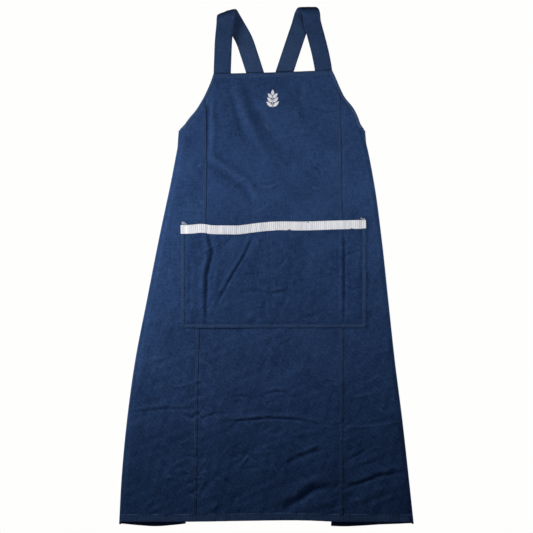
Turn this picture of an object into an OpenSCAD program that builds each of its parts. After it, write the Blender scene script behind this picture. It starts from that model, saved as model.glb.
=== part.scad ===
// Cross-back work apron in cotton canvas, hung flat from a rail through its two shoulder loops.
// The wearer's front faces -Y, the hem is down -Z, and the origin is on the rail under the loops.
// Left and right are as seen from the front. Heights in outlines are below the rail.

/* [Cloth] */
// thickness of one layer of canvas
cloth_t = 1; // [0.6:0.1:1.5]
// clear depth between the front cloth and the back panels
wrap_gap = 7; // [5:0.5:12]
// free play between a moving piece and a fixed one
play = 0.4; // [0.3:0.1:1]

/* [Bib] */
// height of the bib's top edge below the rail
bib_drop = 136; // [120:1:160]
// distance of the bib's left top corner from the middle
bib_left = 131; // [110:1:150]
// distance of the bib's right top corner from the middle
bib_right = 136; // [110:1:150]
// depth of the hem folded along the bib's top edge
bib_hem_h = 10; // [6:1:20]
// drop of each armhole from the bib's top edge to the side fold
armhole_drop = 128; // [90:1:180]
// width of the folded hem along an armhole
armhole_hem_w = 7; // [4:1:12]

/* [Skirt] */
// length of the apron's body from the bib's top edge to the hem
body_len = 1008; // [700:1:1100]
// half width under the arms, from the middle
chest_half = 204; // [160:1:240]
// reach of the left side fold at the hem
left_hem_reach = 344; // [280:1:380]
// reach of the right side fold at the hem
right_hem_reach = 318; // [280:1:380]
// drop from the bib's top edge to the left side's change of slope
left_knee_drop = 690; // [500:5:800]
// reach of the left side fold at that change of slope
left_knee_reach = 316; // [260:1:340]
// drop from the bib's top edge to the right side's change of slope
right_knee_drop = 325; // [250:5:500]
// reach of the right side fold at that change of slope
right_knee_reach = 243; // [210:1:300]
// depth of the hem folded along the bottom
hem_h = 17; // [10:1:30]
// how far the back panels hang below the front hem
back_drop = 13; // [0:1:20]

/* [Panel seams] */
// width of the felled seam between two front panels
seam_w = 9; // [6:1:14]
// height of the seam's ridge
seam_t = 0.8; // [0.4:0.1:1.5]
// drop from the bib's top edge to the top of both seams
seam_drop = 68; // [50:1:80]
// left seam's distance from the middle at the armhole
left_seam_top = 147; // [120:1:170]
// left seam's distance from the middle at the hem
left_seam_foot = 168; // [120:1:200]
// right seam's distance from the middle at the armhole
right_seam_top = 153; // [120:1:170]
// right seam's distance from the middle at the hem
right_seam_foot = 159; // [120:1:200]

/* [Pocket] */
// reach of the pocket to the left
pocket_left = 204; // [160:1:220]
// reach of the pocket to the right
pocket_right = 211; // [160:1:220]
// drop from the bib's top edge to the pocket's mouth
pocket_mouth = 346; // [250:1:450]
// height of the pocket
pocket_h = 229; // [150:1:300]
// depth of the space inside the pocket
pocket_gap = 6; // [5:0.5:12]
// width of the stitched border round the pocket
pocket_border = 8; // [5:1:14]
// distance of the divider from the middle, to the left
divider_x = 3; // [0:1:60]
// height of the ribbed tape sewn over the mouth
tape_h = 20; // [12:1:30]
// thickness of the tape
tape_t = 0.8; // [0.4:0.1:1.5]

/* [Straps] */
// width of a strap
strap_w = 39; // [25:1:50]
// lean of the left loop's front leg towards the middle
left_front_lean = 3.5; // [0:0.5:20]
// lean of the right loop's front leg towards the middle
right_front_lean = 12.5; // [0:0.5:20]
// lean of a crossing strap from the vertical
strap_lean = 18.3; // [12:0.1:25]
// height of the sewn strap end behind the bib
strap_end_h = 42; // [25:1:60]
// radius of the loop at the shoulder, to the middle of the cloth
loop_r = 8; // [6:0.5:14]
// depth at which the front leg stands ahead of the loop's middle at the bib
leg_front = 3.4; // [3:0.1:6]
// distance of the left loop's back leg from the middle, at the rail
left_back_leg = 83; // [60:1:110]
// distance of the right loop's back leg from the middle, at the rail
right_back_leg = 77; // [60:1:110]
// width of the sewn square where a strap meets a back panel
tack_w = 34; // [20:1:40]

/* [Back panels] */
// half distance between the two back panels at the straps
back_gap_top = 128; // [90:1:170]
// half distance between the two back panels at the hem
back_gap_hem = 164; // [90:1:190]
// shift to the left of the gap's middle at the straps
back_shift_top = 3; // [0:1:30]
// shift to the left of the gap's middle at the hem
back_shift_hem = 30; // [0:1:40]
// drop from the bib's top edge to the corner where the strap is sewn on
corner_drop = 535; // [400:1:620]
// drop from the bib's top edge to the foot of the fixed part of a back panel
flap_drop = 592; // [450:1:700]
// width of the folded hem down a back panel's inner edge
edge_hem_w = 12; // [8:1:20]

/* [Joints] */
// height of the line where a loop folds, over the bib's top edge
fold_up = 3; // [2:0.5:6]

/* [Print] */
// width of the printed leaf mark
mark_w = 30; // [15:1:50]
// height of the printed leaf mark
mark_h = 42; // [20:1:60]
// drop from the bib's top edge to the middle of the mark
mark_drop = 60; // [30:1:120]

/* [Output] */
// name of one node, or all

/* [Hidden] */
canvas = "#22365a";
canvas_dark = "#1b2c4c";
strap_blue = "#2a3b5a";
white_tape = "#dedee2";
white_ink = "#e8e8ea";

bib_z = -bib_drop;
hem_z = bib_z - body_len;
foot_z = hem_z - back_drop;
side_z = bib_z - armhole_drop;
corner_z = bib_z - corner_drop;
pocket_top = bib_z - pocket_mouth;
pocket_foot = pocket_top - pocket_h;

// foot of a loop's front leg, and how much higher its back leg ends
leg_z = bib_z + fold_up + 1;
leg_gap = 11;

// the stretch of a crossing strap that lies on its back panel
lap = tack_w + 20;
cross_foot = bib_drop + corner_drop + 50;
flap_z = bib_z - flap_drop;

// the bib's top corner on side s
function corner_x(s) = s < 0 ? -bib_left : bib_right;

// the layers, from the front to the back
front_back = -wrap_gap / 2 - 0.5;
front_y = front_back - cloth_t;
ridge_y = front_y - seam_t;
hem_t = 0.4;
pocket_back = front_y - pocket_gap;
pocket_y = pocket_back - cloth_t;
tape_y = pocket_y - tape_t;
fold_out = -front_back;
fold_in = fold_out - cloth_t;
flap_out = fold_out - play;
flap_in = flap_out - cloth_t;

// side fold lines, from the armhole down to the hem
left_side = [
    [-chest_half, side_z],
    [-left_knee_reach, bib_z - left_knee_drop],
    [-left_hem_reach, hem_z]
];
right_side = [
    [chest_half, side_z],
    [right_knee_reach, bib_z - right_knee_drop],
    [right_hem_reach, hem_z]
];

// points of a cubic curve through a and d, steered by b and c
function curve(a, b, c, d, n = 12) = [
    for (i = [0 : n])
    let (t = i / n, s = 1 - t)
    s * s * s * a + 3 * s * s * t * b + 3 * s * t * t * c + t * t * t * d
];

// where a line through two points meets height z
function at_z(a, b, z) = a[0] + (b[0] - a[0]) * (z - a[1]) / (b[1] - a[1]);

// reach of a side fold line at height z
function side_x(line, z) =
    z > line[1][1] ? at_z(line[0], line[1], z) : at_z(line[1], line[2], z);

// the armhole's edge, from the bib's corner to the side fold, moved in by w
function armhole(s, w = 0) = curve(
    [corner_x(s) - s * w, bib_z],
    [corner_x(s) + s * (13 - w), bib_z - 0.31 * armhole_drop],
    [corner_x(s) + s * (36 - w), bib_z - 0.66 * armhole_drop],
    [s * (chest_half - w), side_z]
);

// the back panel's upper edge, from the side fold to the strap's corner
function scoop(s, w = 0) = curve(
    [s * (chest_half - 1), side_z - w],
    [s * (chest_half + 6 - w * 0.4), side_z - 170],
    [s * (chest_half - 8 - w), side_z - 300],
    [s * (back_gap_top + 46 - w * 0.4) - back_shift_top, corner_z - w],
    16
);

// a back panel's inner edge at height z
function inner_x(s, z) =
    let (t = max(0, (z - flap_z) / (foot_z - flap_z)))
    s * (back_gap_top + (back_gap_hem - back_gap_top) * t)
    - back_shift_top - (back_shift_hem - back_shift_top) * t;

function reversed(list) = [for (i = [len(list) - 1 : -1 : 0]) list[i]];

// one front panel seam as [top, foot], its top on the armhole's hem
function seam_line(s) = s < 0
    ? [[-left_seam_top, bib_z - seam_drop], [-left_seam_foot, hem_z]]
    : [[right_seam_top, bib_z - seam_drop], [right_seam_foot, hem_z]];

// the edge of the hem along an armhole, on the panel's side, between two heights
function armhole_inner(s, high, low) =
    [for (p = armhole(s, armhole_hem_w)) if (p[1] < high && p[1] > low) p];

// flat cloth in the XZ plane with its front face at y and thickness t
module cloth(outline, y, t = cloth_t) {
    translate([0, y + t, 0])
    rotate([90, 0, 0])
    linear_extrude(height = t)
    polygon(outline);
}

// a strip of width w centred on a line from a to b
module strip(a, b, w, y, t) {
    h = w / 2;
    cloth([[a[0] - h, a[1]], [b[0] - h, b[1]], [b[0] + h, b[1]], [a[0] + h, a[1]]], y, t);
}

// half of a tube round a fold line given from the top down, open towards the middle
module fold_tube(s, line, r_out, r_in, n = 12) {
    turns = [for (i = [0 : n]) -90 + 180 * i / n];
    ring = concat(
        [for (a = turns) [s * r_out * cos(a), r_out * sin(a)]],
        [for (a = reversed(turns)) [s * r_in * cos(a), r_in * sin(a)]]
    );
    m = len(ring);
    last = (len(line) - 1) * m;
    walls = [
        for (j = [0 : len(line) - 2])
        for (i = [0 : m - 1])
        let (k = (i + 1) % m)
        [j * m + i, j * m + k, (j + 1) * m + k, (j + 1) * m + i]
    ];
    caps = [
        for (i = [0 : n - 1]) each [
            [m - 1 - i, m - 2 - i, i + 1, i],
            [last + i, last + i + 1, last + m - 2 - i, last + m - 1 - i]
        ]
    ];
    faces = concat(walls, caps);
    polyhedron(
        points = [for (p = line) for (q = ring) [p[0] + q[0], q[1], p[1]]],
        faces = s > 0 ? faces : [for (f = faces) reversed(f)]
    );
}

// ---- front ----

module centre_front_panel() {
    l = seam_line(-1);
    r = seam_line(1);
    top = bib_z - bib_hem_h;
    foot = hem_z + hem_h;
    left_top = armhole_inner(-1, top, l[0][1]);
    right_top = armhole_inner(1, top, r[0][1]);
    color(canvas)
    cloth(concat(
        [[corner_x(-1) + armhole_hem_w, top]], left_top, [l[0], [at_z(l[0], l[1], foot), foot]],
        [[at_z(r[0], r[1], foot), foot], r[0]], reversed(right_top),
        [[corner_x(1) - armhole_hem_w, top]]
    ), front_y);
}

module front_side_panel(s) {
    line = s < 0 ? left_side : right_side;
    seam = seam_line(s);
    upper = armhole_inner(s, seam[0][1], side_z - 1);
    foot = hem_z + hem_h;
    color(canvas)
    cloth(concat(
        [seam[0]], upper,
        [line[0], line[1], [side_x(line, foot), foot]],
        [[at_z(seam[0], seam[1], foot), foot]]
    ), front_y);
}

module left_front_panel() { front_side_panel(-1); }
module right_front_panel() { front_side_panel(1); }

module panel_seam(s) {
    line = seam_line(s);
    color(canvas_dark) strip(line[0], line[1] + [0, hem_h], seam_w, ridge_y, seam_t);
}

module left_panel_seam() { panel_seam(-1); }
module right_panel_seam() { panel_seam(1); }

module bib_hem() {
    color(canvas_dark)
    cloth([
        [corner_x(-1), bib_z], [corner_x(1), bib_z],
        [corner_x(1), bib_z - bib_hem_h], [corner_x(-1), bib_z - bib_hem_h]
    ], front_y - hem_t, cloth_t + hem_t);
}

module armhole_hem(s) {
    top = bib_z - bib_hem_h;
    edge = [for (p = armhole(s)) if (p[1] < top) p];
    inner = armhole_inner(s, top, side_z - 1);
    color(canvas_dark)
    cloth(concat(
        [[corner_x(s), top]], edge, reversed(inner), [[corner_x(s) - s * armhole_hem_w, top]]
    ), front_y - hem_t, cloth_t + hem_t);
}

module left_armhole_hem() { armhole_hem(-1); }
module right_armhole_hem() { armhole_hem(1); }

module front_hem() {
    top = hem_z + hem_h;
    color(canvas_dark)
    cloth([
        [side_x(left_side, top), top], [side_x(right_side, top), top],
        [right_hem_reach, hem_z], [-left_hem_reach, hem_z]
    ], front_y - hem_t, cloth_t + hem_t);
}

module chest_mark() {
    // a plain leaf: two arcs that meet at a point above and below, split by a thin vein
    z = bib_z - mark_drop;
    half_h = mark_h / 2;
    lens_r = (half_h * half_h + mark_w * mark_w / 4) / mark_w;
    side = lens_r - mark_w / 2;
    color(white_ink)
    translate([2, front_y, z])
    rotate([90, 0, 0])
    linear_extrude(height = 0.3)
    difference() {
        intersection() {
            translate([-side, 0]) circle(r = lens_r, $fn = 64);
            translate([side, 0]) circle(r = lens_r, $fn = 64);
        }
        square([1.6, mark_h * 0.8], center = true);
    }
}

// ---- pocket ----

module pocket_panel() {
    color(canvas)
    cloth([
        [-pocket_left, pocket_top], [pocket_right, pocket_top],
        [pocket_right, pocket_foot], [-pocket_left, pocket_foot]
    ], pocket_y);
}

module pocket_wall(x, z, w, h) {
    color(canvas_dark)
    translate([x, pocket_back, z])
    cube([w, pocket_gap, h]);
}

module pocket_left_border() {
    pocket_wall(-pocket_left, pocket_foot + pocket_border, pocket_border, pocket_h - pocket_border);
}

module pocket_right_border() {
    pocket_wall(pocket_right - pocket_border, pocket_foot + pocket_border,
        pocket_border, pocket_h - pocket_border);
}

module pocket_bottom_border() {
    // it is sewn down over both panel seams
    color(canvas_dark)
    difference() {
        pocket_wall(-pocket_left, pocket_foot, pocket_left + pocket_right, pocket_border);
        panel_seam(-1);
        panel_seam(1);
    }
}

module pocket_divider() {
    pocket_wall(-divider_x - 2, pocket_foot + pocket_border, 4, pocket_h - pocket_border);
}

module pocket_tape() {
    color(white_tape)
    cloth([
        [-pocket_left, pocket_top], [pocket_right, pocket_top],
        [pocket_right, pocket_top - tape_h], [-pocket_left, pocket_top - tape_h]
    ], tape_y, tape_t);
}

// ---- back panels ----

module back_panel(s) {
    line = s < 0 ? left_side : right_side;
    knee = line[1][1] > flap_z ? [line[1]] : [];
    foot = flap_z + 2 * play;
    color(canvas)
    cloth(concat(
        scoop(s), [[inner_x(s, corner_z), corner_z - 22]],
        [[inner_x(s, foot), foot]],
        [[side_x(line, foot), foot]], knee, [line[0]]
    ), fold_in);
}

module left_back_panel() { back_panel(-1); }
module right_back_panel() { back_panel(1); }

module side_fold(s) {
    line = s < 0 ? left_side : right_side;
    knee = line[1][1] > flap_z ? [line[1]] : [];
    foot = flap_z + 2 * play;
    color(canvas_dark)
    fold_tube(s, concat([line[0]], knee, [[side_x(line, foot), foot]]), fold_out, fold_in);
}

module left_side_fold() { side_fold(-1); }
module right_side_fold() { side_fold(1); }

module scoop_hem(s) {
    color(canvas_dark)
    cloth(concat(scoop(s), reversed(scoop(s, 9))), fold_out, hem_t);
}

module left_scoop_hem() { scoop_hem(-1); }
module right_scoop_hem() { scoop_hem(1); }

// ---- the free lower flap of each back panel ----

module back_flap(s) {
    line = s < 0 ? left_side : right_side;
    knee = line[1][1] < flap_z ? [line[1]] : [];
    foot = foot_z + hem_h;
    edge = s * edge_hem_w;
    color(canvas)
    cloth(concat(
        [[inner_x(s, flap_z) + edge, flap_z], [inner_x(s, foot) + edge, foot]],
        [[side_x(line, foot), foot]], knee, [[side_x(line, flap_z), flap_z]]
    ), flap_in);
}

module left_back_flap() { back_flap(-1); }
module right_back_flap() { back_flap(1); }

module flap_edge(s) {
    foot = foot_z + hem_h;
    edge = s * edge_hem_w;
    color(canvas_dark)
    cloth([
        [inner_x(s, flap_z), flap_z], [inner_x(s, flap_z) + edge, flap_z],
        [inner_x(s, foot) + edge, foot], [inner_x(s, foot), foot]
    ], flap_in, cloth_t + hem_t);
}

module left_flap_edge() { flap_edge(-1); }
module right_flap_edge() { flap_edge(1); }

module flap_hem(s) {
    line = s < 0 ? left_side : right_side;
    top = foot_z + hem_h;
    color(canvas_dark)
    cloth([
        [inner_x(s, top), top], [side_x(line, top), top],
        [side_x(line, foot_z), foot_z], [inner_x(s, foot_z), foot_z]
    ], flap_in, cloth_t + hem_t);
}

module left_flap_hem() { flap_hem(-1); }
module right_flap_hem() { flap_hem(1); }

module flap_fold(s) {
    line = s < 0 ? left_side : right_side;
    knee = line[1][1] < flap_z ? [line[1]] : [];
    top = [side_x(line, flap_z), flap_z];
    foot = [side_x(line, foot_z), foot_z];
    color(canvas_dark)
    fold_tube(s, concat([top], knee, [foot]), flap_out, flap_in);
}

module left_flap_fold() { flap_fold(-1); }
module right_flap_fold() { flap_fold(1); }

// ---- straps ----

// middle of a back leg at height z; s is the side its shoulder is on
function leg_x(s, z) =
    (s < 0 ? -left_back_leg : right_back_leg) - s * (-z) * tan(strap_lean);

// sideways step of a front leg for each millimetre that it rises
function front_step(s) = s < 0 ? tan(left_front_lean) : -tan(right_front_lean);

// depth of the front face of each crossing strap behind the bib
function cross_y(s) = s < 0 ? front_back + cloth_t : front_back + 2.4 * cloth_t;

// a strap leaning across the back, its side profile given as [drop below the rail, depth]
module leaning_strap(s, profile) {
    multmatrix([
        [1, 0, s * tan(strap_lean), s < 0 ? -left_back_leg : right_back_leg],
        [0, 1, 0, 0],
        [0, 0, 1, 0]
    ])
    translate([-strap_w / cos(strap_lean) / 2, 0, 0])
    rotate([90, 0, 90])
    linear_extrude(height = strap_w / cos(strap_lean))
    polygon([for (p = profile) [p[1], -p[0]]]);
}

module strap_end(s) {
    x = s < 0 ? corner_x(s) : corner_x(s) - strap_w;
    color(strap_blue)
    translate([x, front_back, bib_z - strap_end_h])
    cube([strap_w, cloth_t - 0.1, strap_end_h]);
}

module left_strap_end() { strap_end(-1); }
module right_strap_end() { strap_end(1); }

module loop_front(s) {
    x = s < 0 ? corner_x(s) : corner_x(s) - strap_w;
    color(strap_blue)
    multmatrix([[1, 0, front_step(s), x - front_step(s) * bib_z], [0, 1, 0, 0], [0, 0, 1, 0]])
    rotate([90, 0, 90])
    linear_extrude(height = strap_w)
    polygon([
        [-leg_front - cloth_t / 2, leg_z], [-leg_front + cloth_t / 2, leg_z],
        [-loop_r + cloth_t / 2, -loop_r], [-loop_r - cloth_t / 2, -loop_r]
    ]);
}

module left_loop_front() { loop_front(-1); }
module right_loop_front() { loop_front(1); }

module loop_crown(s) {
    // a rolled half turn that also steps sideways from the front leg to the back leg
    front_x = corner_x(s) - s * strap_w / 2 - front_step(s) * (bib_z + loop_r);
    back_x = leg_x(s, -loop_r);
    step = (back_x - front_x) / (2 * loop_r);
    mid_x = (front_x + back_x) / 2;
    color(strap_blue)
    multmatrix([[1, step, 0, mid_x], [0, 1, 0, 0], [0, 0, 1, -loop_r]])
    translate([-strap_w / 2, 0, 0])
    rotate([90, 0, 90])
    linear_extrude(height = strap_w)
    difference() {
        circle(r = loop_r + cloth_t / 2, $fn = 40);
        circle(r = loop_r - cloth_t / 2, $fn = 40);
        translate([-2 * loop_r, -2 * loop_r]) square([4 * loop_r, 2 * loop_r]);
    }
}

module left_loop_crown() { loop_crown(-1); }
module right_loop_crown() { loop_crown(1); }

module loop_back(s) {
    y = cross_y(s);
    foot = -(leg_z + leg_gap);
    color(strap_blue)
    leaning_strap(s, [
        [loop_r, loop_r - cloth_t / 2], [loop_r, loop_r + cloth_t / 2],
        [foot, y + cloth_t], [foot, y]
    ]);
}

module left_loop_back() { loop_back(-1); }
module right_loop_back() { loop_back(1); }

module cross_strap(s) {
    y = cross_y(s);
    top = bib_drop + 4;
    bend = bib_drop + 190;
    rest = cross_foot - lap;
    color(strap_blue)
    leaning_strap(s, [
        [top, y], [bend, y], [rest, fold_in - cloth_t], [cross_foot, fold_in - cloth_t],
        [cross_foot, fold_in], [rest, fold_in], [bend, y + cloth_t], [top, y + cloth_t]
    ]);
}

module left_cross_strap() { cross_strap(-1); }
module right_cross_strap() { cross_strap(1); }

module strap_tack(s) {
    // s is the side of the back panel, so its strap comes from the other shoulder
    z = corner_z - tack_w * 0.7;
    color(canvas_dark)
    translate([leg_x(-s, z), fold_out, z])
    rotate([0, -s * strap_lean, 0])
    translate([-tack_w / 2, 0, -tack_w / 2])
    cube([tack_w, hem_t, tack_w]);
}

module left_strap_tack() { strap_tack(-1); }
module right_strap_tack() { strap_tack(1); }

centre_front_panel();
left_front_panel();
right_front_panel();
left_panel_seam();
right_panel_seam();
bib_hem();
left_armhole_hem();
right_armhole_hem();
front_hem();
chest_mark();
pocket_panel();
pocket_left_border();
pocket_right_border();
pocket_bottom_border();
pocket_divider();
pocket_tape();
left_back_panel();
right_back_panel();
left_side_fold();
right_side_fold();
left_scoop_hem();
right_scoop_hem();
left_back_flap();
right_back_flap();
left_flap_edge();
right_flap_edge();
left_flap_hem();
right_flap_hem();
left_flap_fold();
right_flap_fold();
left_strap_end();
right_strap_end();
left_loop_front();
right_loop_front();
left_loop_crown();
right_loop_crown();
left_loop_back();
right_loop_back();
left_cross_strap();
right_cross_strap();
left_strap_tack();
right_strap_tack();
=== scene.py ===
# %% [markdown]
# # A cross-back work apron
# The real thing is a stiff navy cotton canvas apron, hung flat. Its front is three panels joined by
# felled seams. The side panels fold round to the back, and two doubled straps rise from the bib, roll
# over as shoulder loops, cross behind and end on the back panels. This notebook builds every cloth,
# band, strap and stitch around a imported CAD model, which gives all the places and the moving bodies.

import bpy
import numpy as np
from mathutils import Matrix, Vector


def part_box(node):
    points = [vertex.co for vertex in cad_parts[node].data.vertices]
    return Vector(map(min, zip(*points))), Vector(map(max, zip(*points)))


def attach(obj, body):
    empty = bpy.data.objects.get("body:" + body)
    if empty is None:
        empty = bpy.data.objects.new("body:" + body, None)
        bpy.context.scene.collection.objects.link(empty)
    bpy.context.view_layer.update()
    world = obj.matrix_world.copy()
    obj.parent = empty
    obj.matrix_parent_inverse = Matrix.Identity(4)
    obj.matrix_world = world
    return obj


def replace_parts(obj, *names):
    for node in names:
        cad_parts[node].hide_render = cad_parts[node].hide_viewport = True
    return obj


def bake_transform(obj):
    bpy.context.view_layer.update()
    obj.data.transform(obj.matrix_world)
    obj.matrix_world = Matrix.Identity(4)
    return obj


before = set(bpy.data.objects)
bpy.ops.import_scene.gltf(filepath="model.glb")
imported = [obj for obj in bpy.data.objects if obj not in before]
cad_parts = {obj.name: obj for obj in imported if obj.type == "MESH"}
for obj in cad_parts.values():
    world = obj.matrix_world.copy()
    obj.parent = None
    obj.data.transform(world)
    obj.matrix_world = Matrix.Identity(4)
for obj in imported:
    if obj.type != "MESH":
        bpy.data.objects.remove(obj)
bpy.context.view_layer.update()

# %% [markdown]
# ## Sizes
# Every driving size is read from the CAD nodes' boxes, so the looks can't drift away from the model.
# X runs to the right as seen from the front, Y to the back and Z up. Work is in metres, and MM turns
# millimetres into metres.

# %% Read the driving sizes
MM = 0.001


def span(node):
    """Lowest and highest corner of a CAD node, as arrays."""
    low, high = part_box(node)
    return np.array(low), np.array(high)


BIB_Z = span("bib_hem")[1][2]
CORNER = {-1: span("bib_hem")[0][0], 1: span("bib_hem")[1][0]}
SIDE_Z = span("left_armhole_hem")[0][2]
HEM_Z = span("front_hem")[0][2]
HEM_H = span("front_hem")[1][2] - HEM_Z
BIB_HEM_H = span("bib_hem")[1][2] - span("bib_hem")[0][2]
FLAP_Z = span("left_back_flap")[1][2]
FOOT_Z = span("left_flap_hem")[0][2]
FRONT_Y, FRONT_BACK = span("centre_front_panel")[0][1], span("centre_front_panel")[1][1]
BACK_Y = span("left_back_panel")[1][1]
STRAP_W = span("left_strap_end")[1][0] - span("left_strap_end")[0][0]
POCKET_LOW, POCKET_HIGH = span("pocket_panel")
TAPE_H = span("pocket_tape")[1][2] - span("pocket_tape")[0][2]
CORNER_Z = span("left_scoop_hem")[0][2]
CLOTH = 0.8 * MM  # one layer of canvas
SIDES = {-1: "left", 1: "right"}
print(f"body {BIB_Z - HEM_Z:.3f} m long, strap {STRAP_W / MM:.0f} mm, pocket mouth at {POCKET_HIGH[2]:.3f}")

# %% [markdown]
# ## Curves
# A few measured points are enough for an edge that curves gently. A cubic Hermite curve passes through
# each point with the slope of its neighbours, so the edge has no corners.


# %% A smooth curve through a few points
def through(knots, values):
    """Function of q: cubic Hermite through (knots, values), each slope taken from its two neighbours."""
    k, v = np.asarray(knots, float), np.asarray(values, float)
    slope = np.gradient(v, k)

    def at(q):
        q = np.clip(np.asarray(q, float), k[0], k[-1])
        i = np.clip(np.searchsorted(k, q, "right") - 1, 0, len(k) - 2)
        h = k[i + 1] - k[i]
        t = (q - k[i]) / h
        rise = (2 * t**3 - 3 * t**2 + 1) * v[i] + (3 * t**2 - 2 * t**3) * v[i + 1]
        return rise + h * ((t**3 - 2 * t**2 + t) * slope[i] + (t**3 - t**2) * slope[i + 1])

    return at


def through_mm(knots, values):
    """The same with knots and values in millimetres."""
    return through(np.array(knots) * MM, np.array(values) * MM)


def ease(q, a, b):
    """0 before a, 1 after b, and 3t^2 - 2t^3 between them."""
    t = np.clip((np.asarray(q, float) - a) / (b - a), 0, 1)
    return t * t * (3 - 2 * t)


print("ease a quarter of the way:", ease(0.25, 0, 1))

# %% [markdown]
# ## The outline
# The apron's outline is a pair of edges given by height: an armhole curve from the bib's corner down to
# the underarm point, then the side fold down to the hem. Both sides were cut alike, and the skirt hangs
# a little to the left, so each side has its own numbers. Drops are in millimetres below the bib's top.

# %% Outline of the body
ARM_DROPS = (0, 18, 41, 63, 86, 108, 121, 128)
ARM_X = {
    -1: through_mm(ARM_DROPS, (131, 137, 146.5, 157.5, 171.5, 189, 198, 203.5)),
    1: through_mm(ARM_DROPS, (135, 143.5, 153.5, 165, 184, 195.5, 200, 204)),
}
FOLD_DROPS = (128, 153, 243, 378, 513, 648, 783, 918, 1031)
FOLD_X = {
    -1: through_mm(FOLD_DROPS, (203.5, 209, 226.5, 255, 281.5, 307.5, 326, 338.5, 344.5)),
    1: through_mm(FOLD_DROPS, (204, 211, 229.5, 248, 262.5, 277, 294, 309, 321)),
}


def edge_x(s, z):
    """Signed X of the body's outline on side s at height z: armhole above the underarm, fold below."""
    drop = BIB_Z - np.asarray(z, float)
    return s * np.where(drop < BIB_Z - SIDE_Z, ARM_X[s](drop), FOLD_X[s](drop))


SEAM_X = {
    -1: through_mm((60, 300, 574, 1031), (-147, -146, -161, -169)),
    1: through_mm((60, 300, 574, 1031), (154, 158, 160, 160)),
}


def seam_x(s, z):
    """Signed X of the felled seam on side s at height z."""
    return SEAM_X[s](BIB_Z - np.asarray(z, float))


print("half widths at the hem:", edge_x(-1, HEM_Z), edge_x(1, HEM_Z))

# %% [markdown]
# ## How the cloth lies
# Washed canvas never hangs truly flat. Straps drag at the bib, whatever is behind prints through as long
# soft folds, a stored apron keeps its sharp crosswise crease, and washing leaves a fine crumple. Each
# fold is a ridge along a line, with a bell-shaped section, and they are simply added up. One function
# lifts a point off the flat pattern, and every panel, band and stitch on the front uses it, so they
# can't come apart.


# %% Folds as ridges along lines
def ridge(x, z, points, width, height):
    """Height times exp(-(d / width)^2), d the distance to the polyline, times sin^0.6 from end to end."""
    best = np.full(np.shape(x), 1e9)
    best_t = np.zeros(np.shape(x))
    points = np.asarray(points, float) * MM
    n = len(points) - 1
    for i, (a, b) in enumerate(zip(points[:-1], points[1:])):
        a, b = np.array([a[0], BIB_Z - a[1]]), np.array([b[0], BIB_Z - b[1]])
        d = b - a
        t = np.clip(((x - a[0]) * d[0] + (z - a[1]) * d[1]) / (d @ d), 0, 1)
        far = np.hypot(x - a[0] - t * d[0], z - a[1] - t * d[1])
        best_t = np.where(far < best, (i + t) / n, best_t)
        best = np.minimum(best, far)
    fade = np.sin(np.pi * np.clip(best_t, 0.02, 0.98)) ** 0.6
    return height * MM * fade * np.exp(-((best / (width * MM)) ** 2))


def crumple(x, z, scale, seed):
    """Smooth noise near -1 to 1: six products of two plane waves near one length, in seeded directions."""
    rng = np.random.default_rng(seed)
    total = np.zeros(np.shape(x))
    for _ in range(6):
        a, b = rng.uniform(0, 2 * np.pi, 2)
        p, q = rng.uniform(0, 2 * np.pi, 2)
        ka, kb = 2 * np.pi / (scale * MM * rng.uniform(0.7, 1.5, 2))
        wave = np.sin(ka * (x * np.cos(a) + z * np.sin(a)) + p)
        total += wave * np.sin(kb * (x * np.cos(b) + z * np.sin(b)) + q)
    return total / 3


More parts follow.
